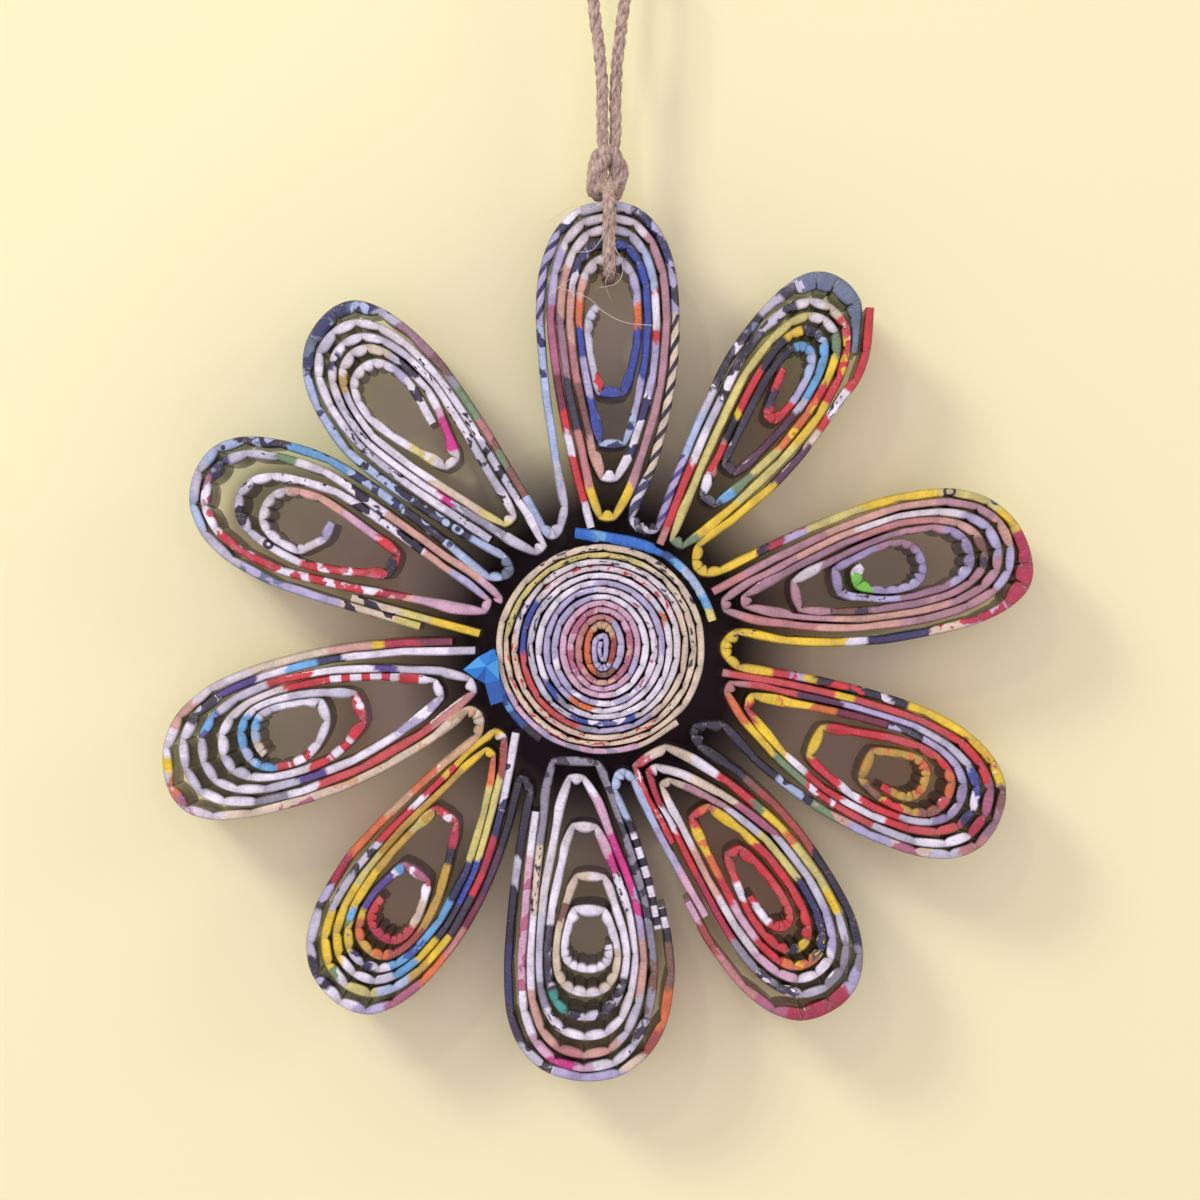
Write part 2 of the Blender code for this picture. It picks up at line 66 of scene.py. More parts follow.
PETALS = {
    "petal_01": (89.7, True, 1.5, 2.1, 0.02, 4.42, (
        (1.6, 0.4, 2.2, 7.6, 44.6, 8.4), (3.2, 0.4, 0.9, 6.2, 43.0, 7.1),
        (8.5, 0.6, 1.0, 4.95, 41.0, 5.85), (13.3, 1.0, 1.6, 3.7, 38.8, 4.6),
        (20.2, 0.8, 1.6, 2.5, 32.5, 3.4))),
    "petal_02": (56.8, True, 1.3, 1.8, 0.02, 4.27, (
        (1.2, -0.2, 1.1, 6.0, 41.4, 7.2), (2.8, 0.5, 0.8, 4.4, 39.7, 5.8),
        (10.0, 1.0, 1.0, 2.95, 37.6, 4.5), (15.3, 0.9, 1.0, 1.65, 35.2, 3.3),
        (24.2, 1.9, 0.65, 0.4, 33.2, 3.0))),
    "petal_03": (11.7, True, 1.5, 2.1, 0.02, 5.08, (
        (1.3, -3.0, 1.5, 10.7, 42.9, 5.1), (2.6, -2.4, 0.7, 9.6, 41.1, 3.95),
        (5.4, -2.35, 0.7, 8.5, 39.2, 2.75), (12.5, -1.6, 2.0, 7.45, 37.2, 1.6),
        (18.4, -2.5, 1.7, 6.2, 30.4, 0.5), (20.9, -2.3, 1.0, 4.9, 28.0, 0.0))),
    "petal_04": (-24.9, True, 1.45, 2.1, 0.02, 4.9, (
        (1.3, -2.7, 1.0, 9.4, 42.5, 6.6), (3.0, -2.3, 0.7, 8.3, 40.6, 5.45),
        (6.4, -1.65, 0.9, 7.2, 38.6, 4.25), (17.0, -0.5, 2.1, 6.0, 36.7, 3.0),
        (24.8, -0.6, 2.0, 4.3, 33.0, 1.3), (26.4, 0.3, 0.7, 2.0, 31.0, 1.0))),
    "petal_05": (-57.3, True, 2.2, 1.4, -0.12, 4.85, (
        (1.2, 2.7, 2.5, 7.9, 40.9, 6.8), (2.7, 3.5, 0.7, 6.6, 38.8, 5.6),
        (5.3, 2.9, 0.7, 5.3, 36.9, 4.3), (11.3, 1.1, 1.3, 3.9, 34.5, 3.0),
        (18.4, 0.2, 0.9, 2.3, 31.0, 1.7), (22.0, 0.8, 0.7, 1.0, 29.0, 1.0))),
    "petal_06": (-92.5, False, 1.6, 2.0, 0.07, 5.8, (
        (2.0, 5.6, 2.2, 8.8, 43.0, 9.5), (1.0, 3.3, 3.0, 7.4, 41.3, 8.2),
        (3.2, 3.0, 0.9, 6.2, 38.8, 7.1), (9.9, 1.6, 1.5, 5.0, 36.0, 5.9),
        (16.8, 0.5, 1.8, 3.8, 32.7, 4.7), (21.3, 0.4, 2.0, 2.7, 29.3, 3.6),
        (23.0, 0.0, 0.7, 1.5, 28.0, 2.0))),
    "petal_07": (-125.8, True, 1.7, 1.4, 0.02, 4.83, (
        (1.6, 4.6, 1.6, 5.95, 43.5, 9.9), (3.2, 4.7, 0.7, 4.85, 41.7, 8.8),
        (6.0, 4.35, 0.7, 3.7, 39.9, 7.5), (16.6, 4.2, 1.7, 2.3, 37.9, 6.0),
        (25.4, 2.9, 2.0, 1.2, 35.2, 4.8), (29.0, 3.2, 0.7, 0.0, 33.0, 4.0))),
    "petal_08": (-161.7, False, 2.2, 1.85, 0.02, 4.6, (
        (2.0, 2.0, 3.2, 5.6, 45.0, 11.1), (4.0, 0.8, 0.9, 4.2, 42.4, 9.8),
        (8.6, 1.8, 1.2, 2.9, 39.4, 8.6), (19.7, 2.8, 2.0, 1.7, 36.5, 7.5),
        (24.5, 3.9, 1.5, 0.3, 34.6, 6.4))),
    "petal_09": (157.2, False, 1.2, 1.2, 0.0, 3.02, (
        (1.0, 0.1, 0.6, 7.4, 44.4, 7.4), (2.3, -0.9, 0.8, 5.4, 39.5, 5.5),
        (16.3, -0.6, 1.5, 4.1, 35.6, 3.9), (26.4, 0.2, 1.2, 2.0, 33.0, 2.0))),
    "petal_10": (130.0, True, 1.3, 1.3, 0.066, 3.9, (
        (1.0, 0.6, 1.2, 7.9, 42.3, 6.5), (1.3, 2.0, 0.7, 6.75, 40.3, 5.4),
        (7.0, 1.3, 0.8, 5.65, 38.4, 4.3), (18.2, 0.3, 1.0, 4.5, 36.1, 2.9),
        (20.6, 0.3, 0.7, 3.0, 34.0, 2.0))),
}
OUTLINE = {
    "petal_01": ((-5.6, 4.5), 9.1, 46.2, 0.0, 9.6, (3.7, 3.0), (5.2, 1.2)),
    "petal_02": ((-2.9, 3.0), 7.4, 45.2, -0.9, 8.7, (3.1, 4.0), (5.0, 1.2)),
    "petal_03": ((-7.2, 3.0), 12.1, 44.9, 0.4, 7.0, (1.7, 3.5), (3.4, 1.2)),
    "petal_04": ((-5.5, 3.0), 10.7, 44.2, -1.0, 8.0, (2.8, 4.5), (4.7, 1.2)),
    "petal_05": ((-3.9, 3.5), 9.3, 43.8, 0.2, 9.7, (6.5, 2.5), (7.4, 0.7)),
    "petal_06": ((-2.3, 4.5), 11.2, 44.4, 0.6, 11.3, (9.3, 5.0), (10.4, 3.4)),
    "petal_07": ((-1.3, 7.0), 7.2, 45.9, 1.0, 11.7, (7.1, 5.0), (8.3, 2.8)),
    "petal_08": ((-2.2, 5.5), 7.0, 47.8, 0.6, 12.4, (7.4, 4.6), None),
    "petal_09": ((-5.9, 1.6), 9.3, 46.0, 0.8, 9.3, (3.0, 3.5), (4.5, 1.2)),
    "petal_10": ((-2.6, 3.5), 9.7, 44.7, 1.2, 7.9, (4.2, 3.3), (4.9, 1.3)),
}
OUTLINE_STRIPS = {
    "outline_strip_a": (("petal_09", 0.07, 1.0), ("petal_10", 0.0, 1.0),
                        ("petal_01", 0.0, 1.0), ("petal_02", 0.0, 0.56)),
    "outline_strip_b": (("petal_02", 0.73, 1.0), ("petal_03", 0.0, 1.0),
                        ("petal_04", 0.0, 1.0), ("petal_05", 0.0, 0.82)),
    "outline_strip_c": (("petal_05", 0.79, 1.0, 1.1 * LAP, 0.0),
                        ("petal_06", 0.0, 0.19, 0.0, LAP)),
    "outline_strip_d": (("petal_06", 0.16, 1.0), ("petal_07", 0.0, 1.0),
                        ("petal_08", 0.0, 1.0)),
    "outline_strip_e": (("petal_09", 0.0, 0.16, LAP, 1.1 * LAP),),
}
TUCKED_END = ((5.0, 41.2), (6.6, 38.0))
STANDING_END = ((5.0, 44.4), (7.9, 39.0), (8.9, 35.0))
WRAP_TOP = (104.0, 14.0)
WRAP_SIDE = (181.0, 235.0)
# Half of the loop, from the knot up, in mm: (right, back, up)
LOOP_SIDE = ((-0.92, -0.2, 0.3), (-0.92, -0.3, 3.0), (-0.92, -0.3, 6.0), (-1.0, -0.2, 9.0),
             (-1.25, -0.1, 12.0), (-1.65, 0.0, 15.5), (-2.1, 0.0, 19.0), (-2.5, 0.0, 23.0),
             (-2.5, 0.0, 27.0), (-1.6, 0.0, 30.6))
LOOP_TOP = (0.0, 0.0, 31.6)
SLING_OVER_RIM = ((2.75, 2.7), (3.9, 1.95), (5.2, 1.3), (6.05, 0.3))
SLING_FRONT = ((6.2, -1.2), (6.25, -3.2), (6.2, -6.4), (5.7, -8.7), (4.2, -9.65), (2.0, -9.75))

PALETTE = {
    "white": (240, 236, 238), "bone": (226, 218, 213), "cream": (222, 206, 172),
    "tan": (206, 168, 116), "peach": (212, 164, 140), "salmon": (194, 128, 118),
    "rose": (178, 98, 120), "dusty": (182, 136, 138), "mauve": (158, 120, 128),
    "lav": (182, 176, 204), "lilac": (156, 142, 174), "ice": (176, 196, 220),
    "sky": (104, 172, 214), "blue": (38, 66, 150), "azure": (14, 110, 196), "deep": (12, 70, 130),
    "navy": (32, 40, 80), "black": (16, 14, 20), "dark": (46, 40, 48), "grey": (142, 140, 146),
    "ash": (200, 199, 206), "slate": (104, 122, 138), "red": (204, 40, 34),
    "crimson": (176, 32, 54), "maroon": (118, 34, 48), "coral": (202, 72, 62),
    "orange": (220, 112, 40), "yellow": (238, 204, 16), "straw": (216, 206, 112),
    "lime": (116, 200, 44), "green": (112, 140, 92), "pink": (220, 176, 190),
    "magenta": (208, 38, 128), "teal": (56, 160, 138), "brown": (124, 84, 60),
    "gold": (196, 158, 48), "violet": (84, 66, 134), "plum": (78, 38, 58), "rust": (164, 70, 44),
}
# The flap's one blue, and a lighter and a darker copy of it for painted light and shade on its
# facets
FLAP_BLUE_LIT_AND_SHADED = ((22, 122, 200), (72, 162, 218), (14, 88, 158))
KINDS = {"b": 1, "c": 2, "r": 3, "d": 4, "s": 5}

# Print along each strip. A number is a place, in turns along a petal or the centre, or as a
# share of a petal's outline. After it comes the paper's colour, and where the print has a second
# colour, that colour and its pattern: b bars, r rings, d slanting lines, s stripes, or blotches
# where no letter follows.
PRINT = {
    "petal_01": """0 white/navy .05 red .1 white .125 red .15 maroon .19 rose .27 lav .36 bone
    .6 dusty .945 yellow 1.055 salmon 1.12 dark 1.18 mauve 1.26 peach 1.34 bone 1.5 ash 1.62 ice
    1.7 red 1.71 white 1.76 red 1.775 lav 1.86 white/navy 1.95 white 2.02 peach 2.08 brown
    2.16 salmon 2.22 peach 2.3 white/navy 2.42 navy/blue 2.5 blue 2.86 lav 2.93 ice/navy
    3.02 blue 3.1 lav 3.18 blue 3.24 orange 3.3 peach 3.36 bone 3.5 ash 3.64 lav 3.72 orange
    3.78 blue 4.02 ash/red 4.12 ash""",
    "petal_02": """0 salmon .04 red .12 white .16 ash .2 black/white .3 dark/ash .4 bone
    .48 cream .54 red/cream .6 yellow/red .7 red .73 yellow .8 straw .9 yellow .96 green
    1.02 straw 1.45 bone 1.56 green 1.63 yellow 1.7 red 1.73 orange/yellow:r 1.84 straw
    1.9 green 1.94 sky 1.975 black/white 2.06 salmon/red 2.12 black 2.16 yellow 2.18 red
    2.26 black 2.36 yellow 2.42 black/ice 2.56 sky 2.74 ash 2.78 plum 3 dark 3.2 black 3.4 sky
    3.55 ice 3.7 lav 3.8 red 4.06 dark 4.16 red""",
    "petal_03": """0 salmon .06 dusty .16 peach .3 dusty .42 peach .5 lav .62 dusty .78 peach
    .88 salmon .96 dusty 1.12 peach 1.2 bone 1.36 lav 1.52 dusty 1.7 peach 1.86 dusty 2.04 mauve
    2.2 salmon 2.33 peach 2.45 brown/dark 2.56 dusty 2.72 mauve 2.84 brown/dark 2.92 dusty
    3.02 bone 3.08 mauve 3.24 dusty 3.36 lilac 3.56 lav 3.66 mauve 3.8 lav/dark:b 3.96 lilac
    4.2 mauve 4.4 lilac 4.62 lav 4.8 lilac 4.9 lime 5.02 white""",
    "petal_04": """0 salmon .03 coral .15 yellow .168 coral .3 red .42 rose .5 crimson .56 white
    .68 ash .75 coral .8 red/white .85 green .9 yellow .94 orange .98 salmon 1.04 coral 1.1 plum
    1.16 lav 1.26 ash 1.38 blue/white 1.5 navy 1.55 coral 1.68 red 1.73 white 1.8 red 1.86 white
    1.9 yellow 1.96 red 2.0 yellow 2.06 orange/yellow 2.14 maroon 2.22 black/lav 2.28 lav
    2.44 lilac 2.62 ash 2.7 red 2.8 white 2.86 red 2.97 yellow 3.03 red 3.16 coral
    3.3 orange/red 3.5 coral/brown 3.66 gold/red 3.8 brown/gold 3.95 gold/orange 4.3 orange/gold
    4.6 gold 4.8 red""",
    "petal_05": """-.12 red/white:b 0 cream .05 white .08 red .13 green .15 yellow
    .18 orange/yellow .2 straw .27 yellow .31 ash .36 grey .5 ash .58 dark/white:b .68 grey
    .74 crimson .84 red .9 white .93 crimson 1 bone 1.06 cream 1.12 rose 1.18 ash 1.3 lav
    1.42 white 1.56 pink 1.7 bone 1.8 peach 1.88 bone 1.96 cream 2.04 dusty 2.1 ash 2.16 straw
    2.25 navy 2.34 navy/yellow:b 2.47 orange 2.54 yellow/orange 2.6 red 2.7 pink 2.78 red
    2.84 orange 2.9 yellow/orange 2.96 red 3 orange 3.03 yellow 3.13 red 3.44 yellow/black:b
    3.52 black 3.58 red 3.8 white 3.88 coral 4 red 4.2 coral 4.4 red 4.66 white 4.78 red""",
    "petal_06": """0 white .12 pink/rose .28 white .36 pink .42 magenta .48 pink .52 white
    .6 ash/dark .68 brown/grey .76 grey/dark 1.06 grey 1.12 cream/dark:b 1.2 white 1.3 peach
    1.42 salmon 1.5 peach 1.6 ash 1.7 peach 1.78 lav/magenta 1.86 magenta 1.91 pink 1.96 white
    2.1 bone 2.2 ash 2.3 grey 2.36 white/dark:b 2.46 white 2.64 bone 2.72 white 2.8 white/dark:b
    2.9 magenta 2.93 pink 2.97 bone 3.06 white 3.2 dark/ash 3.34 teal 3.42 black/ash 3.7 white
    3.9 bone 4 cream 4.1 brown 4.15 cream 4.4 bone 4.6 cream 4.8 white""",
    "petal_07": """0 white .05 white/navy .1 navy .13 crimson .17 red .2 dark .25 yellow
    .29 gold .34 ice .42 straw .5 white/green .55 yellow .68 ash/dark .74 black/ash .79 red
    .85 white .87 red .9 yellow/red .93 yellow 1 white 1.02 rust 1.06 straw 1.16 blue 1.22 dark
    1.27 yellow 1.32 sky 1.38 ash 1.46 white 1.55 yellow 1.72 straw 1.78 gold 1.94 yellow
    2.02 orange 2.06 straw 2.16 navy 2.22 sky 2.3 blue/sky 2.4 white 2.46 navy/ash
    2.55 yellow/green 2.64 sky 2.68 yellow 2.76 gold 2.9 straw/gold 2.97 red/white 3.03 crimson
    3.07 black 3.1 gold 3.26 rust 3.4 orange/gold 3.56 orange 3.66 yellow 3.7 violet
    3.84 violet/white 3.9 white 3.93 sky 3.96 rose/white 4.02 red/white 4.1 cream 4.24 coral
    4.4 crimson 4.6 red 4.75 coral""",
    "petal_08": """0 ash .05 white .16 navy .19 sky .22 white .26 violet .32 dark/ash .4 white
    .48 ash .58 white .68 grey .73 white .77 coral .92 salmon .98 white 1.04 ash 1.1 violet
    1.13 white 1.2 red 1.26 ash 1.36 violet/sky 1.44 ash 1.56 white 1.68 ash 1.74 violet
    1.78 white 1.9 lav/white 2 red/white 2.04 red 2.07 white/red:s 2.18 red 2.24 bone 2.4 white
    2.5 ash 2.62 white 2.72 bone 2.76 red 2.84 white/red:s 2.92 red 2.97 red/white 3.02 ash
    3.2 white 3.36 sky 3.5 ice 3.6 sky 3.7 coral 3.74 white/red:s 3.84 white 4.2 ash 4.34 sky
    4.42 ice 4.48 cream""",
    "petal_09": """0 pink .05 peach .17 white/black .25 bone .29 green .32 ash/black:b
    .42 navy/grey .48 rose/white .56 red/white .86 crimson/peach .9 pink 1.03 lav 1.08 peach
    1.12 white/black 1.3 white/black:b 1.46 ash/black 1.66 white/black:r 1.74 red/white
    1.95 red/black 2.02 red 2.08 pink 2.18 peach 2.36 bone 2.6 white 2.8 bone 2.97 lav""",
    "petal_10": """0 bone .03 ash/black:b .13 white .18 ash/black:b .28 white .4 ash
    .5 white/black:b .62 bone .72 white/black:b .84 ash/black .92 white 1 ash 1.06 grey/ash:b
    1.13 magenta 1.15 white 1.26 ash/black:b 1.34 bone 1.42 navy/white 1.47 white 1.6 ash
    1.7 white/dark:b 1.84 ash/dark 1.95 bone 2.0 straw 2.06 cream 2.14 white 2.3 ash
    2.36 gold/bone 2.42 bone 2.56 cream 2.64 ash/dark 2.72 white 2.82 pink 2.85 magenta
    2.96 bone 3.05 straw/bone 3.12 white 3.34 bone 3.5 white 3.66 lav 3.74 white/dark 3.82 white""",
    "outline_01": """0 ash .06 ice .17 ice/navy .24 lav/navy:d .38 navy/white .44 ash/navy
    .56 navy/lav .68 lav/dark .74 cream/black:d .95 navy/ash:d""",
    "outline_02": """-1 black/ash:d 0 lav/violet:d .1 ice .17 ash .2 black/white .27 black/slate
    .31 ash .35 dark/ash .39 slate .68 white/black:b .69 red .725 white/black:b .755 red
    .775 cream .8 plum .87 yellow""",
    "outline_03": """-1 yellow .05 crimson/black .085 lav/red .12 straw .2 yellow
    .3 straw/black:r .4 yellow .45 crimson .63 pink/crimson .7 cream/red .745 navy .83 white
    .86 yellow .95 yellow/black:b""",
    "outline_04": """-1 yellow .045 red .065 lav/red .085 yellow .1 black/red .16 white/black
    .2 black .225 yellow .27 yellow/red:b .39 yellow/white .42 brown .47 mauve .54 salmon .6 ash
    .66 cream/rose .72 lav .78 peach/green .84 ice/black .9 black""",
    "outline_05": """-1 black .07 brown .1 rust .2 rust/black .25 black .36 grey .41 lav
    .46 crimson .6 rose .66 salmon .74 rust .79 pink .86 lav .93 ice""",
    "outline_06": """-1 ice .04 black .06 white/black:s .19 black .21 brown .27 orange .33 rust
    .38 cream .43 lav .55 ash/dark .63 dark .7 navy .78 black .86 ash .9 black""",
    "outline_07": """-1 black .1 plum .17 maroon .23 salmon .27 orange .32 rose .4 lav .46 white
    .53 black/lav .6 ash .68 dark/lav .72 crimson .76 orange .84 tan .88 orange/cream .93 tan""",
    "outline_08": """-1 cream/tan 0 tan/cream .07 cream/tan .2 cream/rose .28 cream .36 bone
    .42 rose/ash .47 orange/ash .52 yellow .545 white .6 peach .66 bone .74 cream .84 peach
    .9 yellow .915 crimson .96 maroon""",
    "outline_09": """-1 yellow .06 straw .1 cream/black .17 lav .24 slate/lav .3 ash .38 ice
    .46 ash .52 ice/black .68 sky/black .78 ice/navy .86 black/ice:r .94 ice""",
    "outline_10": """-1 slate 0 ice .05 black/ice:r .14 ice/black .22 ice .28 ice/navy
    .38 slate/navy .48 navy/ice .62 ash/navy .66 mauve .73 brown/grey .78 green .83 salmon/brown
    .88 green/brown .95 ice""",
    "centre_coil": """0 cream .07 pink/grey .2 lav/pink .3 cream .5 cream/dark:b .8 cream
    1.05 cream/red:b 1.4 straw/black:b 1.7 cream/dark:b 2 cream/red:b 2.4 bone/navy:b 2.8 cream
    3.02 lav/grey 3.17 coral 3.37 blue 3.47 bone/red:b 3.8 bone 4.05 blue/white 4.2 ash/dark:b
    4.5 white 4.75 orange/ash 4.82 white/ash 5.2 blue/grey 5.3 white 5.6 lav 5.9 white
    6.15 orange/grey 6.22 lav 6.6 white/rose:b 7 lav/white 7.6 white 8.1 pink 8.6 pink/lav
    9.2 pink/rose 9.8 rose/peach 10.3 salmon 10.7 lav 11 brown 11.2 orange 11.5 tan 11.8 rust
    12 lav""",
    "centre_wrap_top": """0 azure .1 sky .16 azure .5 deep .58 sky .66 ice .84 sky .93 straw""",
    "centre_wrap_side": "0 azure .45 deep .55 sky .62 deep .8 black",
}


def linear(colour):
    return [(c / 255 / 12.92 if c <= 10 else ((c / 255 + 0.055) / 1.055) ** 2.4) for c in colour]


def read_print(text):
    """(places, paper colours, second colours, kinds) of a line of PRINT."""
    words = text.split()
    places, paper, ink, kinds = [], [], [], []
    for at, look in zip(words[::2], words[1::2]):
        first, _, kind = look.partition(":")
        base, _, second = first.partition("/")
        places.append(float(at))
        paper.append(linear(PALETTE[base]))
        ink.append(linear(PALETTE[second or "black"]))
        kinds.append(KINDS[kind or "c"] if second else 0)
    return np.array(places), np.array(paper), np.array(ink), np.array(kinds)


# Routes, in mm from the flower's centre, each with a label for its print

def place(degrees, across, out):
    angle = math.radians(degrees)
    reach = out + RIM
    return (reach * math.cos(angle) + across * math.sin(angle),
            reach * math.sin(angle) - across * math.cos(angle))


def side_line(widest, corner, swell, share):
    return (widest[0] + (corner[0] - widest[0]) * share ** swell,
            widest[1] + (corner[1] - widest[1]) * share)


def round_end(widest, head, share):
    angle = share * math.pi / 2
    return (head[0] + (widest[0] - head[0]) * math.cos(angle) ** FULLNESS,
            widest[1] + (head[1] - widest[1]) * math.sin(angle) ** FULLNESS)


def turn_point(petal, turned):
    _, clockwise, left_swell, right_swell, _, _, turns = petal
    index = math.floor(turned)
    share = turned - index
    rising = -1 if clockwise else 1
    swell = {-1: left_swell, 1: right_swell}

    def narrow(number, side):
        tip, lean, pinch = turns[number][:3]
        return (lean + side * pinch, tip)

    def widest(number, side):
        tip, _, _, left, head, right = turns[max(number, 0)]
        half = right if side > 0 else left
        outside = LAP if number < 0 else 0.0
        return (side * (half + outside), tip + WIDEST * (head - tip))

    def head(number):
        _, _, _, left, reach, right = turns[max(number, 0)]
        return ((right - left) / 2 * FULLNESS, reach)

    if share < TIP:
        middle, corner = narrow(index, 0), narrow(index, rising)
        return (middle[0] + (corner[0] - middle[0]) * share / TIP, corner[1])
    if share < 0.25:
        down = 1 - (share - TIP) / (0.25 - TIP)
        return side_line(widest(index, rising), narrow(index, rising), swell[rising], down)
    if share < 0.5:
        return round_end(widest(index, rising), head(index), (share - 0.25) * 4)
    if share < 0.75:
        return round_end(widest(index, -rising), head(index), (0.75 - share) * 4)
    if share < 1 - TIP:
        down = (share - 0.75) / (0.25 - TIP)
        return side_line(widest(index, -rising), narrow(index + 1, -rising), swell[-rising], down)
    middle, corner = narrow(index + 1, 0), narrow(index + 1, -rising)
    return (middle[0] + (corner[0] - middle[0]) * (1 - share) / TIP, corner[1])


def fold_places(start, end):
    legs = ((TIP, 0.25, SIDE_FOLDS), (0.25, 0.5, HEAD_FOLDS),
            (0.5, 0.75, HEAD_FOLDS), (0.75, 1 - TIP, SIDE_FOLDS))
    places = []
    for whole in range(math.floor(start), math.ceil(end)):
        for low, high, count in legs:
            places += [whole + low + (high - low) * step / count for step in range(count)]
        places.append(whole + 1 - TIP)
    shortest = TIP / 4
    return [start] + [at for at in places if start + shortest < at < end - shortest] + [end]


def outline_point(name, share):
    _, _, left_swell, right_swell, _, _, turns = PETALS[name]
    left_corner, left, head, lean, right, right_corner, _ = OUTLINE[name]
    tip, reach = turns[0][0], turns[0][4]
    widest = tip + WIDEST * (reach - tip)
    left_place, right_place = (-left, widest), (right, widest)
    if share < 0.25:
        return side_line(left_place, left_corner, left_swell, 1 - share * 4)
    if share < 0.5:
        return round_end(left_place, (lean, head), (share - 0.25) * 4)
    if share < 0.75:
        return round_end(right_place, (lean, head), (0.75 - share) * 4)
    return side_line(right_place, right_corner, right_swell, (share - 0.75) * 4)


def outline_run(name, start, end, start_inside=0.0, end_inside=0.0):
    steps = 4 * OUTLINE_SIDE_FOLDS
    places = [step / steps for step in range(steps + 1)]
    places = [start] + [at for at in places if start + 0.02 < at < end - 0.02] + [end]
    folds = []
    for at in places:
        inside = start_inside + (end_inside - start_inside) * (at - start) / (end - start)
        across, out = outline_point(name, at)
        across += inside if at < 0.5 else -inside
        folds.append((place(PETALS[name][0], across, out), (name[-2:], at)))
    return folds


def valley(name, before, after, nxt):
    floor = place(PETALS[name][0], *OUTLINE[name][6])
    pull = [2 * floor[axis] - (before[axis] + after[axis]) / 2 for axis in (0, 1)]
    folds = []
    for step in range(1, VALLEY_FOLDS):
        t = step / VALLEY_FOLDS
        folds.append((tuple((1 - t) ** 2 * before[axis] + 2 * t * (1 - t) * pull[axis]
                            + t ** 2 * after[axis] for axis in (0, 1)), (nxt[-2:], t - 1)))
    return folds


def polar(radius, degrees):
    angle = math.radians(degrees)
    return (radius * math.cos(angle), radius * math.sin(angle))


def all_routes():
    """Every strip's route: a list of (place, (print line, position)) for each fold."""
    routes = {}
    for name, petal in PETALS.items():
        routes[name] = [(place(petal[0], *turn_point(petal, at)), (name, at))
                        for at in fold_places(petal[4], petal[5])]
    axis = PETALS["petal_02"][0]
    for name, runs in OUTLINE_STRIPS.items():
        route = []
        if name == "outline_strip_b":
            route = [(place(axis, *point), ("02", 0.70 + 0.01 * i)) for i, point in
                     enumerate(STANDING_END)]
        for number, run in enumerate(runs):
            folds = outline_run(*run)
            if number:
                route += valley(runs[number - 1][0], route[-1][0], folds[0][0], run[0])
            route += folds
        if name == "outline_strip_a":
            route += [(place(axis, *point), ("02", 0.57)) for point in TUCKED_END]
        routes[name] = [(point, ("outline_" + label, at)) for point, (label, at) in route]
    outer = CENTRE_RADIUS - 0.1
    turns = (outer - CORE_RADIUS) / CENTRE_PITCH
    route = []
    for fold in range(math.floor(turns * CENTRE_SIDES) + 1):
        turned = fold / CENTRE_SIDES
        wobble = 0.05 * math.sin(fold * 2.3) + 0.04 * math.sin(fold * 0.9)
        radius = outer - CENTRE_PITCH * (turned - 0.2 * min(turned, 1.0)) + wobble
        squeeze = CORE_SQUEEZE * (1 - radius / outer)
        angle = -2 * math.pi * turned - math.pi / 4
        route.append((((radius - squeeze) * math.cos(angle) - 0.25,
                       (radius * 0.98 + squeeze) * math.sin(angle)),
                      ("centre_coil", turned)))
    route += [(point, ("centre_coil", turned + 0.1 * i)) for i, point in enumerate(CORE_END)]
    routes["centre_coil"] = route
    for name, (start, end), lift in (("centre_wrap_top", WRAP_TOP, 1.1),
                                     ("centre_wrap_side", WRAP_SIDE, 0.0)):
        steps = round(abs(end - start) / 6.0)
        routes[name] = [(polar(SEAT + lift * max(0.0, 1 - 4 * step / steps) ** 2,
                               start + (end - start) * step / steps), (name, step / steps))
                        for step in range(steps + 1)]
    return routes


# Strips: a rounded fold along the front, creases, and a ply that buckles inwards at bends

# Where a strip is spread flat and wide: (line of PRINT, first, last, extra mm)
FLARED = (("outline_02", 0.34, 0.6, 1.1), ("outline_03", 0.42, 0.64, 0.8),
          ("outline_05", 0.4, 0.62, 0.9), ("outline_10", 0.36, 0.62, 0.7),
          ("outline_06", 0.44, 0.56, 0.5), ("centre_wrap_top", -0.1, 0.5, 0.5))
# Points of a strip's section: (share of the half width, share of the rounded cap)
PROFILE_FRONT = ((-1.0, 0.0), (-0.93, 0.55), (-0.66, 0.9), (0.0, 1.0),
                 (0.66, 0.9), (0.93, 0.55), (1.0, 0.0))
PROFILE_BACK = ((1.0, 0.0), (0.85, 0.75), (0.0, 1.0), (-0.85, 0.75), (-1.0, 0.0))
CAP_FRONT, CAP_BACK = 0.55, 0.45  # mm, depth of the rounded caps
SIDE_DEPTHS = (-1.6, 1.8)         # mm, where the side walls have their inner points
HALF = DEPTH / 2
HALF_WIDTHS = {"centre_coil": 0.5, "centre_wrap_top": 0.62, "centre_wrap_side": 0.62}
PLAIN_HALF_WIDTH = 0.6
RING_STEP = 0.55                  # mm between two rings of a strip
CREASE_EDGE = 0.16                # mm from a crease to the next ring
FAR = 9.0                         # mm, past which a neighbour doesn't matter
FILL = 0.475                      # share of the free room that a strip's side may take
FLARE_GAP = 0.72                  # mm that a spread side leaves free
SOFT_ANGLE = 26                   # degrees, up to which faces are shaded as one
# Ranges of the random draws, in mm, and the mm or rings between two of them
PUFF, WANDER, LEAN, TILT, STEP_OUT = (0.3, 1.5), 0.06, 0.1, 0.16, 0.09
FRONT_SHIFT, BACK_SHIFT, SHIFT_STEP = (-0.22, 0.28), (-0.25, 0.25), 7
WANDER_STEP, SLANT_STEP, SLANT, JITTER = 9, 9, 1.6, 0.6


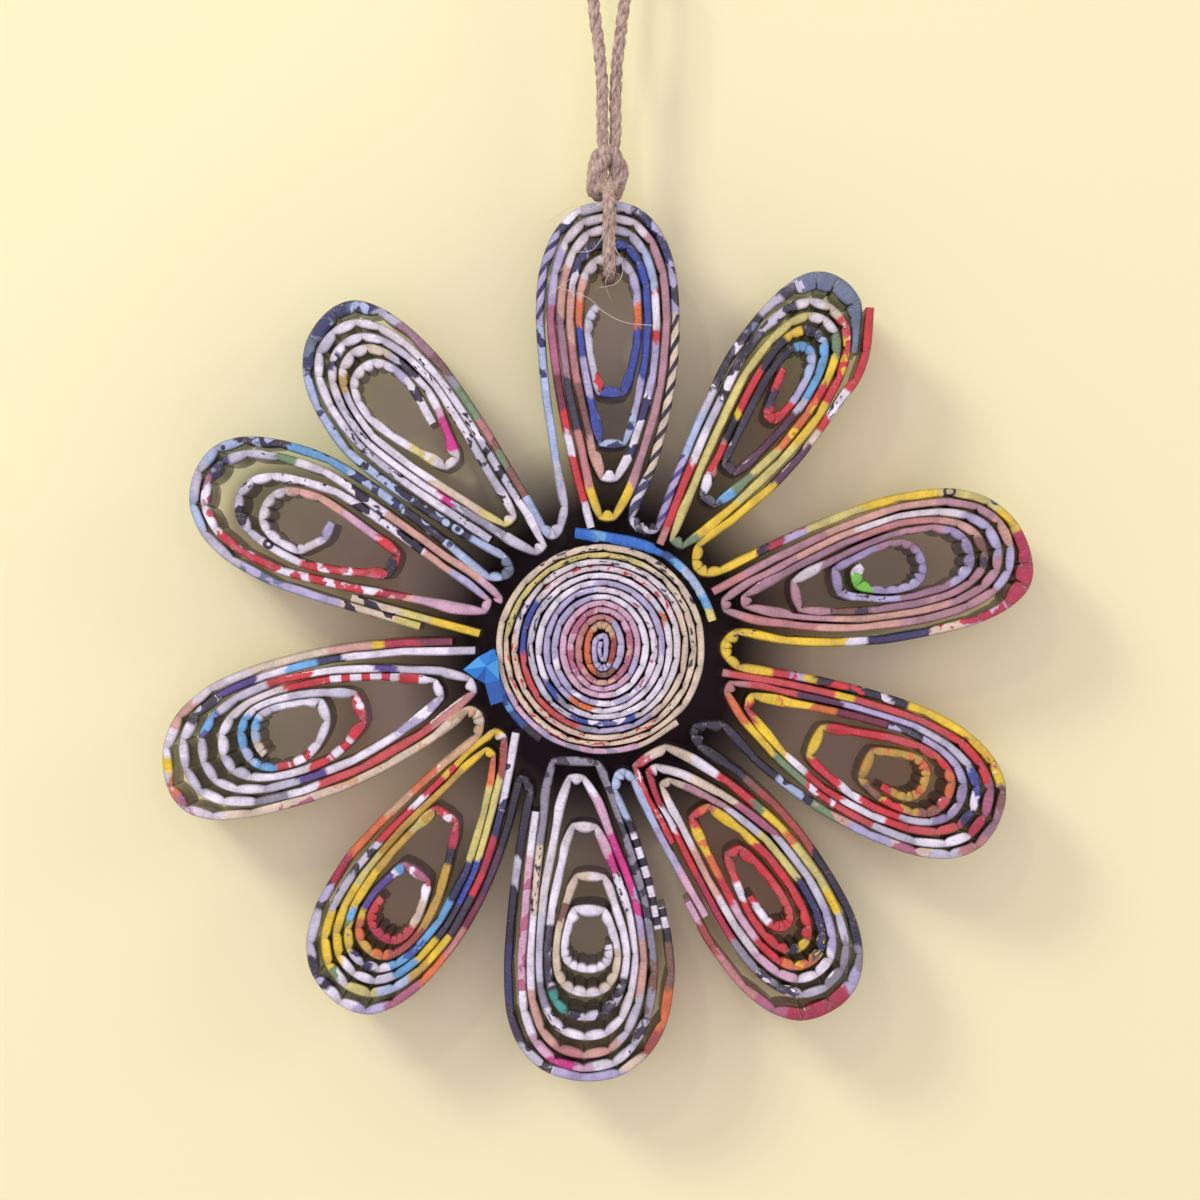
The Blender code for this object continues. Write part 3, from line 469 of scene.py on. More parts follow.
def sample_route(route):
    """Rings along a route: their places, their directions to the left, the segment that each
    is in, its share of that segment, and the signed bend near it in degrees."""
    points = np.array([p for p, _ in route])
    steps = np.diff(points, axis=0)
    lengths = np.hypot(*steps.T)
    headings = np.unwrap(np.arctan2(steps[:, 1], steps[:, 0]))
    bends = np.concatenate([[0], np.degrees(np.diff(headings)), [0]])
    index, share = [], []
    for i, length in enumerate(lengths):
        count = max(3, round(length / RING_STEP))
        edge = min(CREASE_EDGE / length, 0.25)
        between = [edge + (1 - 2 * edge) * k / count for k in range(1, count)]
        shares = [0.0, edge] + between + [1 - edge]
        index += [i] * len(shares)
        share += shares
    index, share = np.array(index + [len(lengths) - 1]), np.array(share + [1.0])
    length, bend_a, bend_b = lengths[index], bends[index], bends[index + 1]
    here = points[index] + steps[index] * share[:, None]
    bend = bend_a * (1 - share) + bend_b * share
    along = steps[index] / length[:, None]
    left = np.stack([-along[:, 1], along[:, 0]], 1)
    # The strip bows out a little between two creases.
    bow = np.clip(bend, -40, 40) / 30 * 0.045 * length * 4 * share * (1 - share)
    here = here - left * bow[:, None]
    # At a crease the cross-section leans to the middle of the bend.
    turn = np.where(share < 0.5, -bend_a * np.clip(1 - share * 6, 0, 1),
                    bend_b * np.clip(share * 6 - 5, 0, 1)) / 2
    angle = np.arctan2(along[:, 1], along[:, 0]) + np.radians(turn)
    return here, np.stack([-np.sin(angle), np.cos(angle)], 1), index, share, bend


def clearances(places, normals, starts, ends, skip):
    """How far it is along each normal to the nearest strip's middle line."""
    d = ends - starts
    best = np.full(len(places), FAR)
    chunk = 400
    for low in range(0, len(places), chunk):
        p, n = places[low:low + chunk, None], normals[low:low + chunk, None]
        cross = n[..., 0] * d[:, 1] - n[..., 1] * d[:, 0]
        cross = np.where(abs(cross) < 1e-9, 1e-9, cross)
        gap = starts - p
        s = (gap[..., 0] * d[:, 1] - gap[..., 1] * d[:, 0]) / cross
        t = (gap[..., 0] * n[..., 1] - gap[..., 1] * n[..., 0]) / cross
        hit = (s > 0.3) & (t > -0.02) & (t < 1.02) & ~skip[low:low + chunk]
        best[low:low + chunk] = np.where(hit, s, FAR).min(axis=1)
    return best


def free_room(name, here, left, index, segments):
    """The free room to the left and to the right of each ring of the strip called name."""
    starts, ends, owners = segments
    own = owners == name
    number = np.full(len(starts), -99)
    number[own] = np.arange(own.sum())
    skip = own[None] & (abs(number[None] - index[:, None]) <= 1)
    rooms = []
    for normals in (left, -left):
        padded = np.pad(clearances(here, normals, starts, ends, skip), 2, mode="edge")
        rooms.append(np.min([padded[k:k + len(here)] for k in range(5)], axis=0))
    return rooms


def drift(rng, at, step, end, low, high):
    """Random values between low and high, one for each step, read smoothly at the places at."""
    knots = np.arange(0, end, step)
    return np.interp(at, knots, rng.uniform(low, high, len(knots)))


def add_mesh(name, verts, faces, *materials):
    """An object of verts, given in mm, and faces."""
    mesh = bpy.data.meshes.new(name)
    mesh.from_pydata((np.array(verts) * MM).tolist(), [], faces)
    for material in materials:
        mesh.materials.append(material)
    item = bpy.data.objects.new(name, mesh)
    bpy.context.scene.collection.objects.link(item)
    return item


def build_strip(node, route, segments, material):
    """The strip that replaces node, with its print as colour attributes."""
    name = node + "_paper"
    rng = np.random.default_rng(sum(ord(c) * (i + 3) for i, c in enumerate(name)))
    here, left, index, share, bend = sample_route(route)
    room_left, room_right = free_room(node, here, left, index, segments)
    count = len(here)
    middle = np.sin(np.pi * share)
    flat = np.clip(1.6 * middle, 0, 1)
    crease = 1 - middle ** 0.5
    sharp = np.clip(abs(bend) / 24, 0.15, 1.3)
    arc = np.concatenate([[0], np.cumsum(np.hypot(*np.diff(here, axis=0).T))])

    # Where each ring is in which line of PRINT
    first, second = [route[a][1] for a in index], [route[a + 1][1] for a in index]
    lines = np.array([a[0] for a in first])
    line_at = np.array([a[1] for a in first])
    line_to = np.array([b[1] if b[0] == a[0] else a[1] + 0.04 for a, b in zip(first, second)])
    position = line_at + (line_to - line_at) * share

    # Widths to both sides
    flare = np.zeros(count)
    for line, low, high, extra in FLARED:
        spread = extra * np.sin(np.pi * np.clip((position - low) / (high - low), 0, 1)) ** 0.6
        flare = np.where(lines == line, np.maximum(flare, spread), flare)
    puff = rng.uniform(*PUFF, index.max() + 2)
    buckle = np.clip(abs(bend) * 0.011, 0, 0.4) * puff[index] * middle ** 0.8
    base = HALF_WIDTHS.get(node, PLAIN_HALF_WIDTH)
    inner = base * (1 - 0.3 * crease * sharp) + buckle
    outer = base * (1 - 0.10 * crease * sharp)
    wander = drift(rng, np.arange(count), WANDER_STEP, count + WANDER_STEP, -WANDER, WANDER)
    inner, outer = inner + wander + flare, outer - wander

    def within(width, room):
        most = FILL * room
        return np.minimum(width, np.where(flare > 0, np.maximum(room - FLARE_GAP, most), most))

    wide_left = within(np.where(bend > 0, inner, outer), room_left)
    wide_right = within(np.where(bend > 0, outer, inner), room_right)

    # How far the front and the back stand out, and how the front's facets lie
    end = arc[-1] + 2 * SHIFT_STEP
    front_shift = drift(rng, arc, SHIFT_STEP, end, *FRONT_SHIFT)
    back_shift = drift(rng, arc, SHIFT_STEP, end, *BACK_SHIFT)
    front_shift = front_shift + 0.12 * crease * sharp
    lean = drift(rng, arc, SHIFT_STEP, end, -LEAN, LEAN)
    tilt = rng.uniform(-TILT, TILT, index.max() + 2)[index] * flat
    step_out = rng.uniform(-STEP_OUT, STEP_OUT, index.max() + 2)
    front_shift = front_shift + step_out[index] * flat

    # The section's points, ring by ring: across and in depth
    rows = [(np.where(x > 0, wide_left, wide_right) * x,
             -HALF + CAP_FRONT * (1 - reach) + front_shift + tilt * x * reach)
            for x, reach in PROFILE_FRONT]
    rows += [(wide_left * (0.86 + 0.1 * np.sin(arc * 0.9 + depth)), np.full(count, depth))
             for depth in SIDE_DEPTHS]
    rows += [(np.where(x > 0, wide_left, wide_right) * x,
              HALF - CAP_BACK * (1 - reach) + back_shift) for x, reach in PROFILE_BACK]
    rows += [(-wide_right * (0.86 + 0.1 * np.sin(arc * 0.8 + 2 * depth)), np.full(count, depth))
             for depth in reversed(SIDE_DEPTHS)]
    n = len(rows)
    width, y = (np.array(part).T for part in zip(*rows))
    width = width + lean[:, None] * (y / HALF)
    xz = here[:, None] + left[:, None] * width[..., None]
    verts = np.stack([xz[..., 0], y, xz[..., 1] - DROP], -1).reshape(-1, 3)
    i, j = np.meshgrid(np.arange(count - 1), np.arange(n), indexing="ij")
    k = (j + 1) % n
    quads = np.stack([i * n + j, (i + 1) * n + j, (i + 1) * n + k, i * n + k], -1).reshape(-1, 4)
    faces = quads.tolist() + [list(range(n)), list(range((count - 1) * n, count * n))[::-1]]
    piece = add_mesh(name, verts, faces, material)
    mesh = piece.data

    # UV: mm along the strip, and mm round its section from the front's left edge
    around = np.concatenate([[0], np.cumsum(np.hypot(np.diff(np.median(width, 0)),
                                                     np.diff(np.median(y, 0))))])
    around = np.append(around, around[-1] + 3.0)
    u = np.stack([arc[i], arc[i + 1], arc[i + 1], arc[i]], -1).reshape(-1)
    v = np.stack([around[j], around[j], around[j + 1], around[j + 1]], -1).reshape(-1)
    u = np.concatenate([u, np.full(n, arc[0]), np.full(n, arc[-1])])
    v = np.concatenate([v, np.zeros(2 * n)])
    layer = mesh.uv_layers.new(name="UVMap")
    layer.data.foreach_set("uv", np.stack([u, v], -1).reshape(-1) * UV_UNIT)

    # Each ring's colours
    colour, ink, kind = np.zeros((count, 3)), np.zeros((count, 3)), np.zeros(count)
    for line in set(lines):
        places, paper, over_paper, kinds = read_print(PRINT[line])
        there = lines == line
        found = np.clip(np.searchsorted(places, position[there], "right") - 1, 0, None)
        colour[there], ink[there] = paper[found], over_paper[found]
        kind[there] = kinds[found]
    # How sharp each ring's crease is; the material uses it for real rubbing and for painted shade
    # in the crease.
    wear_and_crease_shade = np.clip(sharp * crease, 0, 1)
    # The print's edges cross the strip at a slant, which changes along it.
    slant = drift(rng, arc, SLANT_STEP, arc[-1] + 2 * SLANT_STEP, -SLANT, SLANT)
    jitter = rng.uniform(-JITTER, JITTER, (count, n))
    reach = np.minimum(around[:n], 2.2)[None] - 0.8
    moved = np.arange(count)[:, None] + slant[:, None] * reach + jitter
    moved = np.clip(np.round(moved).astype(int), 0, count - 1)
    tips = np.concatenate([np.zeros(n, int), np.full(n, count - 1)])
    at_corner = np.concatenate([moved.reshape(-1)[quads.reshape(-1)], tips])
    of_face = np.concatenate([np.repeat(moved[i, j].reshape(-1), 4), tips])
    own_ring = np.concatenate([np.repeat(i.reshape(-1), 4), tips])
    for label, values, alpha in (("paper", colour[at_corner], kind[of_face] / 10),
                                 ("ink", ink[of_face], wear_and_crease_shade[own_ring])):
        attribute = mesh.color_attributes.new(label, "FLOAT_COLOR", "CORNER")
        data = np.concatenate([values, alpha[:, None]], 1)
        attribute.data.foreach_set("color", data.reshape(-1))
    mesh.update()
    mesh.shade_smooth()
    mesh.set_sharp_from_angle(angle=math.radians(SOFT_ANGLE))
    return piece


def make_flap():
    """The folded blue flap that lies over the front at the left of the disc, in mm."""
    rim = [(-15.2, -5.3, -0.1), (-17.3, -5.6, -1.2), (-19.4, -5.2, -3.0), (-17.6, -5.7, -4.2),
           (-16.4, -5.5, -4.9), (-14.4, -5.6, -4.4), (-14.6, -5.5, -1.6)]
    peak, strap, thickness = (-16.2, -6.1, -2.5), [(-15.6, -5.4, -7.9), (-13.8, -5.45, -7.3)], 0.5
    front = [(x, y, z - DROP) for x, y, z in rim + [peak] + strap]
    behind = [(x, y + thickness, z) for x, y, z in front]
    count, total = len(rim), len(front)
    faces = [(a, (a + 1) % count, count) for a in range(count)] + [(4, total - 2, total - 1, 5)]
    faces += [tuple(total + v for v in face)[::-1] for face in faces]
    border = [0, 1, 2, 3, 4, total - 2, total - 1, 5, 6]
    faces += [(b, a, a + total, b + total) for a, b in zip(border, border[1:] + border[:1])]
    # Painted light and shade: the middle blue and its lighter and darker copies are dealt out to
    # the facets in turn.
    shades = [plain_material("flap_blue_painted_light", shade, 0.3, 0.6) for shade in FLAP_BLUE_LIT_AND_SHADED]
    flap = add_mesh("centre_flap", front + behind, faces, *shades)
    for number, face in enumerate(flap.data.polygons):
        face.material_index = (0, 1, 0, 2)[number % 4]
    return flap


# Materials

def feed(socket, value):
    """Links value to socket where it is a socket too, and sets it otherwise."""
    if isinstance(value, bpy.types.NodeSocket):
        socket.id_data.links.new(value, socket)
    else:
        socket.default_value = value


def set_inputs(node, **values):
    """Feeds the node's inputs of these names, which have _ for a space."""
    for key, value in values.items():
        feed(node.inputs[key.replace("_", " ")], value)


def add_node(tree, kind, settings=None, **values):
    node = tree.nodes.new("ShaderNode" + kind)
    for key, value in (settings or {}).items():
        setattr(node, key, value)
    set_inputs(node, **values)
    return node


def tree_of(*values):
    return next(value for value in values if isinstance(value, bpy.types.NodeSocket)).id_data


def maths(operation, a, b=0.0, clamp=False):
    node = add_node(tree_of(a, b), "Math", {"operation": operation, "use_clamp": clamp})
    feed(node.inputs[0], a)
    feed(node.inputs[1], b)
    return node.outputs[0]


def times(a, b, clamp=False):
    return maths("MULTIPLY", a, b, clamp)


def plus(a, b, clamp=False):
    return maths("ADD", a, b, clamp)


def minus(a, b, clamp=False):
    return maths("SUBTRACT", a, b, clamp)


def over(value, limit, soft=0.02):
    """0 up to limit, rising to 1 at soft above it."""
    return times(minus(value, limit), 1 / soft, True)


def mix(factor, a, b, mode="MIX"):
    node = add_node(tree_of(factor, a, b), "Mix", {"data_type": "RGBA", "blend_type": mode})
    for number, value in ((0, factor), (6, a), (7, b)):
        feed(node.inputs[number], value)
    return node.outputs[2]


def mix_shader(tree, factor, a, b, output):
    either = add_node(tree, "MixShader")
    for socket, value in zip(either.inputs, (factor, a, b)):
        feed(socket, value)
    feed(tree.nodes[output].inputs[0], either.outputs[0])


def new_material(name):
    material = bpy.data.materials.new(name)
    material.use_nodes = True
    tree = material.node_tree
    return material, tree, tree.nodes["Principled BSDF"]


def plain_material(name, colour, roughness=0.9, gloss=0.2):
    material, _, shader = new_material(name)
    set_inputs(shader, Base_Color=(*linear(colour), 1), Roughness=roughness,
               Specular_IOR_Level=gloss)
    return material


def paper_material(name, painted_edge_shade, painted_side_shade):
    """Varnished print. The colour attribute paper has the paper's colour and the pattern's
    number, and ink has the second colour and how sharp each crease is, which rubs the paper towards
    a bare paper colour and also darkens it with painted shade."""
    material, tree, shader = new_material(name)
    paper_node, ink_node = (add_node(tree, "Attribute", {"attribute_name": name})
                            for name in ("paper", "ink"))
    paper, number = paper_node.outputs["Color"], paper_node.outputs["Alpha"]
    ink, crease_wear_and_shade = ink_node.outputs["Color"], ink_node.outputs["Alpha"]
    uv = add_node(tree, "UVMap", {"uv_map": "UVMap"}).outputs[0]
    space = add_node(tree, "TexCoord").outputs["Object"]

    def noise(scale, detail, stretch=(1, 1, 1), rough=0.5, source=uv):
        mapping = add_node(tree, "Mapping", Vector=source, Scale=stretch)
        return add_node(tree, "TexNoise", Vector=mapping.outputs[0], Scale=scale, Detail=detail,
                        Roughness=rough).outputs["Fac"]

    # The patterns
    along, around, _ = add_node(tree, "SeparateXYZ", Vector=uv).outputs
    bars = times(over(noise(150, 1, (0.55, 1.5, 1)), 0.56, 0.03), over(noise(35, 0), 0.42, 0.05))
    blotches = over(noise(34, 2, (1, 1.2, 1)), 0.515, 0.03)
    cells = add_node(tree, "TexVoronoi", Vector=uv, Scale=42).outputs["Distance"]
    rings = minus(1.0, over(maths("ABSOLUTE", minus(cells, 0.33)), 0.06, 0.03), True)
    waves = times(plus(times(along, 32), times(around, 60)), FULL_TURN)
    slants = over(maths("SINE", waves), 0.25, 0.1)
    stripes = over(maths("SINE", times(along, FULL_TURN * 36)), 0.15, 0.1)
    mask = 0.0
    for place_of, pattern in enumerate((bars, blotches, rings, slants, stripes), 1):
        chosen = maths("COMPARE", number, place_of / 10)
        chosen.node.inputs[2].default_value = 0.04
        mask = plus(mask, times(chosen, pattern), True)
    colour = mix(mask, paper, ink)
    # Soft changes of tone in the print, as magazine pictures have
    tint = over(noise(48, 3, (0.8, 1.6, 1), 0.6), 0.5, 0.16)
    colour = mix(times(tint, 0.2), colour, ink)
    tone = plus(times(noise(34, 4, (1, 1.1, 1), 0.7), 1.2), 0.4)
    # Painted shade: sharp creases are darkened by up to 0.3 of their tone.
    tone = times(tone, minus(1.0, times(crease_wear_and_shade, 0.3)))
    # Painted shade: the fold's two edges are darker than its middle, which is at 0.85 mm round the
    # section, where the fold rounds into the gap between laps.
    edge = minus(maths("ABSOLUTE", minus(times(around, 1 / UV_UNIT), 0.85)), 0.34)
    depth = times(add_node(tree, "SeparateXYZ", Vector=space).outputs[1], 1 / MM)
    past_front = over(depth, -4.6, 0.5)
    edge = times(times(edge, 1.9, True), minus(1.0, past_front))
    tone = times(tone, minus(1.0, times(edge, painted_edge_shade)))
    colour = mix(1.0, colour, tone, "MULTIPLY")
    # Painted shade: the side walls, between the front and the back, are darkened and tinted, as if
    # lying in the shade of the next lap.
    inside = times(past_front, minus(1.0, over(depth, 4.3, 0.4)))
    colour = mix(inside, colour, mix(1.0, colour, painted_side_shade, "MULTIPLY"))
    # Small dark specks and grime
    speck = over(noise(420, 3), 0.62, 0.06)
    colour = mix(times(speck, 0.5), colour, (0.05, 0.04, 0.05, 1))
    # Sharp creases are also rubbed towards the paper's own colour.
    fray = over(noise(260, 3, (1.6, 0.7, 1)), 0.5, 0.12)
    colour = mix(times(times(crease_wear_and_shade, fray), 0.34), colour, (0.62, 0.57, 0.52, 1))
    sheen = noise(90, 3, (10, 10, 10), source=space)
    height = plus(times(noise(600, 4, (0.6, 1.4, 1), 0.65), 0.25),
                  noise(70, 3, (1.4, 0.7, 1), 0.6))
    height = plus(times(noise(150, 2, (1.5, 0.25, 1), 0.6), 0.6), height)
    bump = add_node(tree, "Bump", Strength=0.85, Distance=0.00034, Height=height)
    set_inputs(shader, Base_Color=colour, Roughness=plus(times(sheen, 0.35), 0.24),
               Coat_Weight=0.6, Coat_Roughness=0.1, Normal=bump.outputs[0])
    return material


def twine_material():
    material, tree, shader = new_material("jute")
    space = add_node(tree, "TexCoord").outputs["Object"]
    mapping = add_node(tree, "Mapping", Vector=space, Scale=(1, 1, 0.35))
    grain = add_node(tree, "TexNoise", Vector=mapping.outputs[0], Scale=2600,
                     Detail=4).outputs["Fac"]
    ramp = add_node(tree, "ValToRGB", Fac=grain)
    for element, at, colour in zip(ramp.color_ramp.elements, (0.3, 0.72),
                                   ((128, 104, 90), (216, 194, 172))):
        element.position = at
        element.color = (*linear(colour), 1)
    bump = add_node(tree, "Bump", Strength=0.7, Distance=0.0002, Height=grain)
    set_inputs(shader, Base_Color=ramp.outputs[0], Roughness=0.85, Normal=bump.outputs[0])
    return material


# Twine

# The knot's fat bend, in mm from the knot's centre: (right, back, up)
KNOT_BEND = ((-1.55, -0.5, -2.7), (-1.75, -0.65, -0.4), (-0.9, -0.5, 2.1), (0.35, 0.0, 2.5),
             (1.25, 0.5, 0.5), (1.0, 0.3, -1.9), (-0.3, 0.6, -3.1))
# Where the loop's two ends go into the knot, in mm: (right, back), and how deep
TUCK, TUCK_DEPTH = ((-0.5, 0.2), (0.5, -0.2)), 2.2
# Loose fibres from the sling, in mm from the flower's centre: (right, back, up)
LOOSE_FIBRES = (
    ((0.2, -6.9, 61.5), (-2.0, -7.0, 60.2), (-4.6, -6.3, 60.6), (-7.6, -5.8, 58.6)),
    ((0.1, -7.1, 57.0), (-1.6, -6.8, 54.6), (-4.2, -6.2, 54.2), (-6.0, -5.8, 51.8)),
    ((1.4, -7.0, 55.0), (2.6, -6.6, 52.6), (2.0, -6.0, 50.4), (-0.6, -5.6, 49.6)),
    ((0.2, -7.0, 60.4), (-1.8, -7.0, 61.4), (-4.0, -6.6, 63.2), (-4.8, -5.6, 64.4)),
    ((-6.5, -5.9, 49.7), (-2.3, -5.5, 48.3), (0.0, -5.2, 46.3), (3.2, -5.3, 44.8),
     (7.2, -5.9, 44.4)),
    ((0.3, -7.0, 54.0), (-2.6, -6.2, 51.6), (-5.0, -5.8, 50.6), (-7.6, -5.7, 48.4)))
TWINE_STEP, KNOT_STEP, FIBRE_STEP = 0.45, 0.3, 0.6  # mm between two rings
FIBRE_START = 0.6                 # mm from the twine's middle line
STRAND_SIDES = 8
STRAND_RADIUS, STRAND_OFFSET = 0.32 * TWINE, 0.19 * TWINE
FIBRE_RADIUS, FIBRE_STEPS, FIBRE_CORNERS = 0.035, 5, (0, 2.09, 4.19)


def smooth_route(points, step):
    padded = [points[0], *points, points[-1]]
    route = [points[0]]
    for p0, p1, p2, p3 in zip(padded, padded[1:], padded[2:], padded[3:]):
        count = max(1, round(math.dist(p1, p2) / step))
        for number in range(1, count + 1):
            t = number / count
            route.append(tuple(
                0.5 * (2 * b + (c - a) * t + (2 * a - 5 * b + 4 * c - d) * t ** 2
                       + (3 * b - a - 3 * c + d) * t ** 3)
                for a, b, c, d in zip(p0, p1, p2, p3)))
    return route


def tube_faces(start, rings, sides, closed=False):
    """The faces of a tube whose rings of points begin at number start."""
    faces = []
    for i in range(rings if closed else rings - 1):
        ring, nxt = start + i * sides, start + (i + 1) % rings * sides
        faces += [(ring + side, ring + (side + 1) % sides, nxt + (side + 1) % sides, nxt + side)
                  for side in range(sides)]
    if not closed:
        end = start + rings * sides
        faces += [tuple(range(start, start + sides))[::-1], tuple(range(end - sides, end))]
    return faces


def rope(name, path, material, closed=False, strands=3, lay=6.2, scale=1.0):
    """A twisted rope of strands along path, given in mm, as one mesh."""
    path = np.array(path)
    count = len(path)
    if closed:
        tangent = np.roll(path, -1, 0) - np.roll(path, 1, 0)
    else:
        tangent = np.gradient(path, axis=0)
    tangent /= np.linalg.norm(tangent, axis=1)[:, None]
    normal = np.zeros_like(path)
    first = np.cross(tangent[0], (0.0, 1.0, 0.3))
    normal[0] = first / np.linalg.norm(first)
    for i in range(1, count):
        n = normal[i - 1] - tangent[i] * normal[i - 1].dot(tangent[i])
        normal[i] = n / np.linalg.norm(n)
    other = np.cross(tangent, normal)
    arc = np.concatenate([[0], np.cumsum(np.linalg.norm(np.diff(path, axis=0), axis=1))])
    radius, offset = STRAND_RADIUS * scale, STRAND_OFFSET * scale
    verts, faces = [], []
    for strand in range(strands):
        angle = 2 * np.pi * (strand / strands + arc / lay)
        swell = 1 + 0.07 * np.sin(arc * 2.1 + strand * 2) + 0.05 * np.sin(arc * 5.3 + strand)
        centre = path + offset * (normal * np.cos(angle)[:, None]
                                  + other * np.sin(angle)[:, None])
        faces += tube_faces(len(verts), count, STRAND_SIDES, closed)
        for i in range(count):
            for side in range(STRAND_SIDES):
                b = 2 * math.pi * side / STRAND_SIDES
                verts.append(centre[i] + radius * swell[i] * (normal[i] * math.cos(b)
                                                              + other[i] * math.sin(b)))
    item = add_mesh(name, verts, faces, material)
    item.data.shade_smooth()
    return item


def fibres(name, path, number, spread, length, material, seed):
    """Loose fibres that stand off a piece of twine, as thin three-sided tubes in one mesh."""
    rng = np.random.default_rng(seed)
    path = np.array(path)
    verts, faces = [], []
    for _ in range(number):
        at = path[rng.integers(0, len(path))]
        way = rng.normal(size=3)
        way /= np.linalg.norm(way)
        way[1] = -abs(way[1])
        curl = rng.normal(size=3) * 0.5
        reach = length * rng.uniform(0.4, 1.0)
        start = at + way * spread
        line = [start + way * reach * t + curl * reach * t * t
                for t in np.linspace(0, 1, FIBRE_STEPS + 1)]
        faces += tube_faces(len(verts), len(line), len(FIBRE_CORNERS))
        for k, point in enumerate(line):
            r = FIBRE_RADIUS * (1 - 0.12 * k)
            for a in FIBRE_CORNERS:
                verts.append(point + r * np.array((math.cos(a), math.sin(a) * 0.8,
                                                   math.sin(a) * 0.6)))
    return add_mesh(name, verts, faces, material)


def make_twine():
    jute = twine_material()
    pale = plain_material("pale_fibre", (232, 212, 186))
    top, rim, knot_height = KNOT_TOP - DROP, TOP_RIM - DROP, KNOT_CENTRE - DROP
    bend = LOOP_SIDE + (LOOP_TOP,) + tuple((-x, -y, up) for x, y, up in LOOP_SIDE[::-1])
    loop = smooth_route([(TWINE_X + x, y, top + up) for x, y, up in bend], TWINE_STEP)
    front = [(TWINE_X, -forward, rim + up) for forward, up in SLING_OVER_RIM + SLING_FRONT]
    sling = smooth_route(front + [(x, -y, z) for x, y, z in reversed(front)], TWINE_STEP)
    bend = [(TWINE_X + x, y, knot_height + up) for x, y, up in KNOT_BEND + KNOT_BEND[:1]]
    knot = smooth_route(bend, KNOT_STEP)[:-1]
    first, last = ((TWINE_X + x, y, top - TUCK_DEPTH) for x, y in TUCK)
    pieces = {"twine_loop": rope("jute_loop", [first] + loop + [last], jute, scale=1.16),
              "twine_sling": rope("jute_sling", sling, jute, scale=1.25),
              "twine_knot": rope("jute_knot", knot, jute, closed=True, lay=11.0, scale=2.0)}
    for node, piece in pieces.items():
        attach(piece, "root")
        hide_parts(node)
    for node, route in (("twine_loop", loop), ("twine_sling", sling)):
        length = sum(math.dist(a, b) for a, b in zip(route, route[1:])) * MM
    for name, path, number, length, seed in (("loop_fibres", loop, 110, 1.5, 3),
                                             ("sling_fibres", sling[:36], 90, 2.4, 5),
                                             ("knot_fibres", knot, 50, 2.0, 7)):
        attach(fibres(name, path, number, FIBRE_START, length, pale, seed), "root")
    for number, points in enumerate(LOOSE_FIBRES):
        path = smooth_route([(x, y, z - DROP) for x, y, z in points], FIBRE_STEP)
        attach(rope(f"loose_fibre_{number + 1}", path, pale, strands=1, scale=0.08), "root")


# Camera and stage

WALL_COLOUR = (249, 246, 190)
WALL_BACK, WALL_HEIGHT, WALL_SIZE = 0.0078, -0.2, 3.0
SHADE_TINT = (0.1, 0.08, 0.12)
SHADE_RADIUS, SHADE_SOFT = 0.0195, 0.0105
LAMPS = (("key", 3.7, 0.24, (-0.62, -0.52, 0.5)), ("glint", 0.5, 0.05, (-0.3, -0.75, 0.45)),
         ("right", 0.9, 0.3, (0.85, -0.45, 0.3)))  # name, W, m across, place
LAMP_COLOUR, LAMP_AIM = (1.0, 0.975, 0.94), (0, 0, -0.1)
SENSOR = 36.0                     # mm
CAMERA_AWAY, SEEN_WIDTH = 0.34, 0.1655
CAMERA_RIGHT, CAMERA_UP = -0.00055, 6.62 - DROP


def make_camera():
    data = bpy.data.cameras.new("camera")
    camera = bpy.data.objects.new("camera", data)
    bpy.context.scene.collection.objects.link(camera)
    data.sensor_width = SENSOR
    data.lens = SENSOR * CAMERA_AWAY / SEEN_WIDTH
    camera.location = (CAMERA_RIGHT, -HALF * MM - CAMERA_AWAY, CAMERA_UP * MM)
    camera.rotation_euler = (math.pi / 2, 0, 0)
    bpy.context.scene.camera = camera


def wall_material():
    """See-through from behind, so that the flower's back can be looked at, and darker behind
    the petals' feet, where the photograph shows deep shade."""
    material = plain_material("wall_paint", WALL_COLOUR)
    tree = material.node_tree
    shader = tree.nodes["Principled BSDF"]
    pale = linear(WALL_COLOUR)
    geometry = add_node(tree, "NewGeometry")
    away = add_node(tree, "VectorMath", {"operation": "DISTANCE"})
    feed(away.inputs[0], geometry.outputs["Position"])
    feed(away.inputs[1], (0, WALL_BACK, -DROP * MM))
    # Painted shade: the wall's colour is darkened to SHADE_TINT of itself within SHADE_RADIUS of
    # the flower's centre, fading out over SHADE_SOFT more.
    beyond_painted_shade = over(away.outputs["Value"], SHADE_RADIUS, SHADE_SOFT)
    dark = tuple(share * part for share, part in zip(SHADE_TINT, pale))
    set_inputs(shader, Base_Color=mix(beyond_painted_shade, (*dark, 1), (*pale, 1)))
    clear = add_node(tree, "BsdfTransparent")
    mix_shader(tree, geometry.outputs["Backfacing"], shader.outputs[0], clear.outputs[0],
               "Material Output")
    return material


